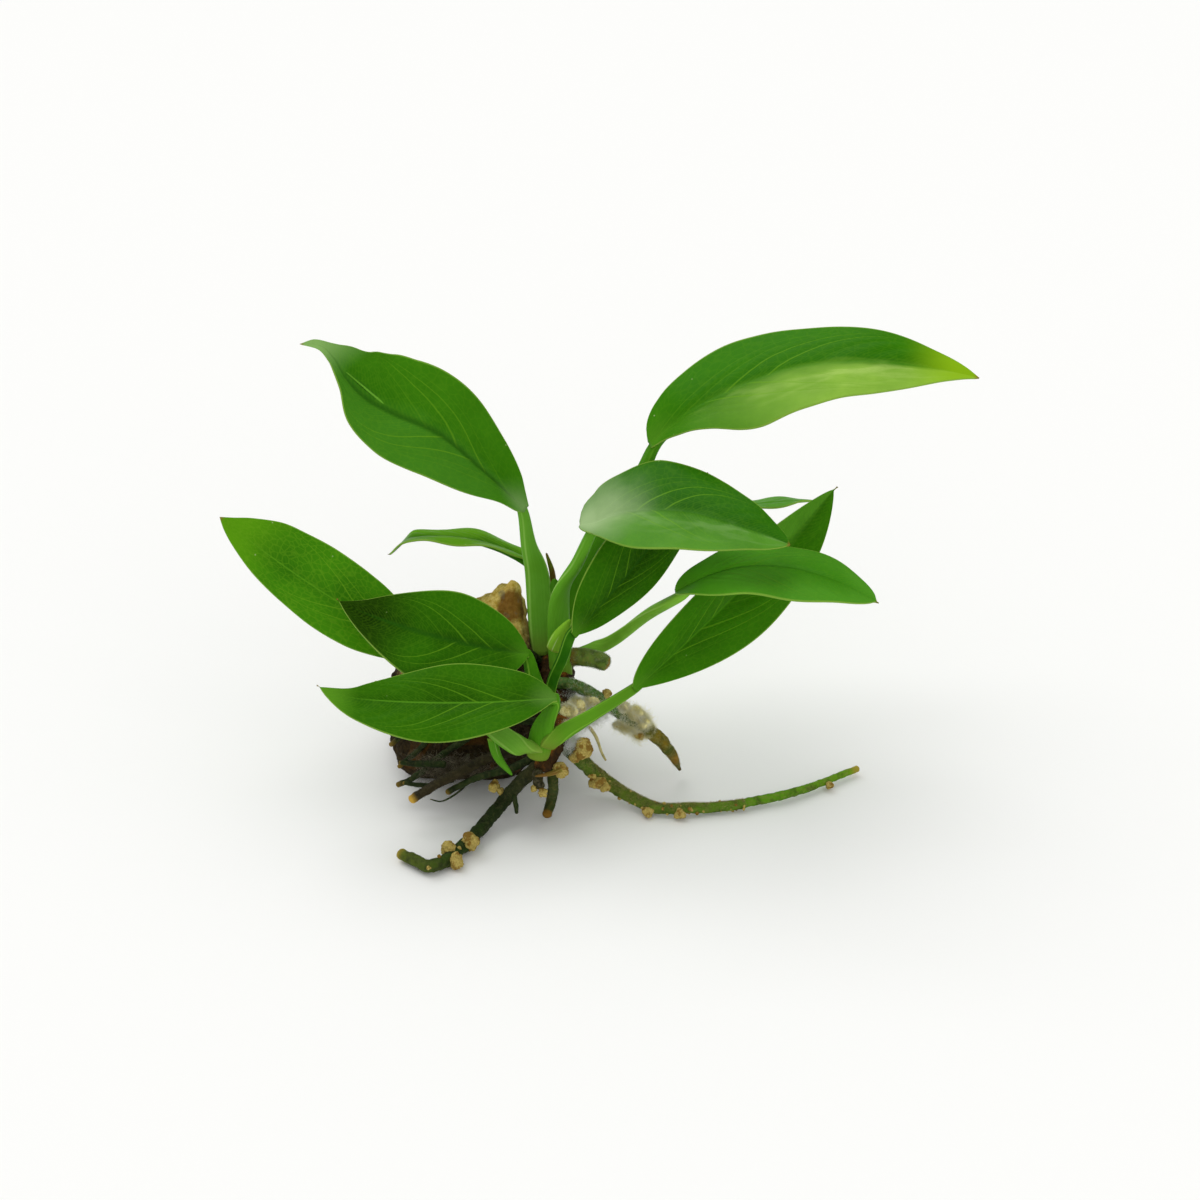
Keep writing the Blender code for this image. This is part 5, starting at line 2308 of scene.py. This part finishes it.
SCALES = (
    Scale(
        "sheath_front",
        points=((4, -33.5, 26), (5.5, -35, 21), (8.8, -35, 16)),
        width=3.0,
        face=(0.2, -1, 0.2),
        finish=SHEATH,
        node="sheath_front",
    ),
    Scale(
        "new_shoot",
        points=((18.8, -12.5, 38), (20.6, -13, 42.5), (23.2, -12.8, 47.5)),
        width=5.2,
        face=(0, -1, 0.2),
        finish=SHOOT,
        node="new_shoot",
    ),
    Scale(
        "bract_back",
        points=((19.5, 4, 33), (19.5, 3, 41), (19, 2.5, 50.5)),
        width=8.0,
        face=(0, -1, 0.15),
        finish=SHEATH,
        cup=0.3,
    ),
    Scale(
        "dry_bract",
        points=((18.9, 7, 45), (18.4, 7, 50), (16.9, 7, 55.5)),
        width=1.8,
        face=(0.3, -1, 0.15),
        finish=DRY,
    ),
    Scale(
        "dry_twig",
        points=((21, -36, 18.5), (18.5, -37, 18), (14.5, -37, 17)),
        width=1.5,
        face=(0, -0.6, 1),
        finish=DRY,
    ),
)

DOWN = Down("down_on_wool", each=2200, length=1.1, finish=CREAM_HAIR)
CLAY = MottledFinish(
    "crumb_ochre_clay",
    low="#94803a",
    high="#ccb868",
    patch="#7c5a18",
    patch_size=2.0,
    grain_size=0.45,
    patch_share=0.35,
    relief=0.3,
)
WOOL = MottledFinish(
    "silt_wool_cream",
    low="#dfd184",
    high="#fff5ba",
    patch="#b9a350",
    patch_size=2.4,
    grain_size=0.4,
    patch_share=0.2,
    relief=0.3,
)


@dataclass
class Plant:
    """The whole object, built from the stone outwards."""

    random: np.random.Generator = field(default_factory=lambda: np.random.default_rng(SEED))

    def build(self) -> None:
        """Builds each sub-assembly in order."""
        stone = Stone()
        stone.build()
        rhizome = Rhizome()
        rhizome.build()
        for leaf in LEAVES:
            leaf.build_blade()
            leaf.build_stem(rhizome)
        hosts: dict[str, np.ndarray] = {}
        for root in ROOTS:
            root.build(stone)
            hosts[root.name] = root.route
        clay = CLAY.material()
        for crumb in CRUMBS:
            crumb.build(clay)
        wool = WOOL.material()
        for lump in LUMPS:
            lump.build(wool)
        for grit in GRITS:
            grit.build(hosts, clay, self.random)
        made = {finish.name: finish.material() for finish in (SHEATH, SHOOT, DRY)}
        for scale in SCALES:
            scale.build(made[scale.finish.name])
        for fuzz in FUZZ:
            fuzz.build(hosts, self.random)
        for web in WEBS:
            web.build(self.random)
        DOWN.build(LUMPS, self.random)


def main() -> None:
    """Builds the plant and the studio."""
    logging.basicConfig(level=logging.INFO, format="%(name)s %(message)s")
    Plant().build()
    Studio().build()


if __name__ == "__main__":
    main()
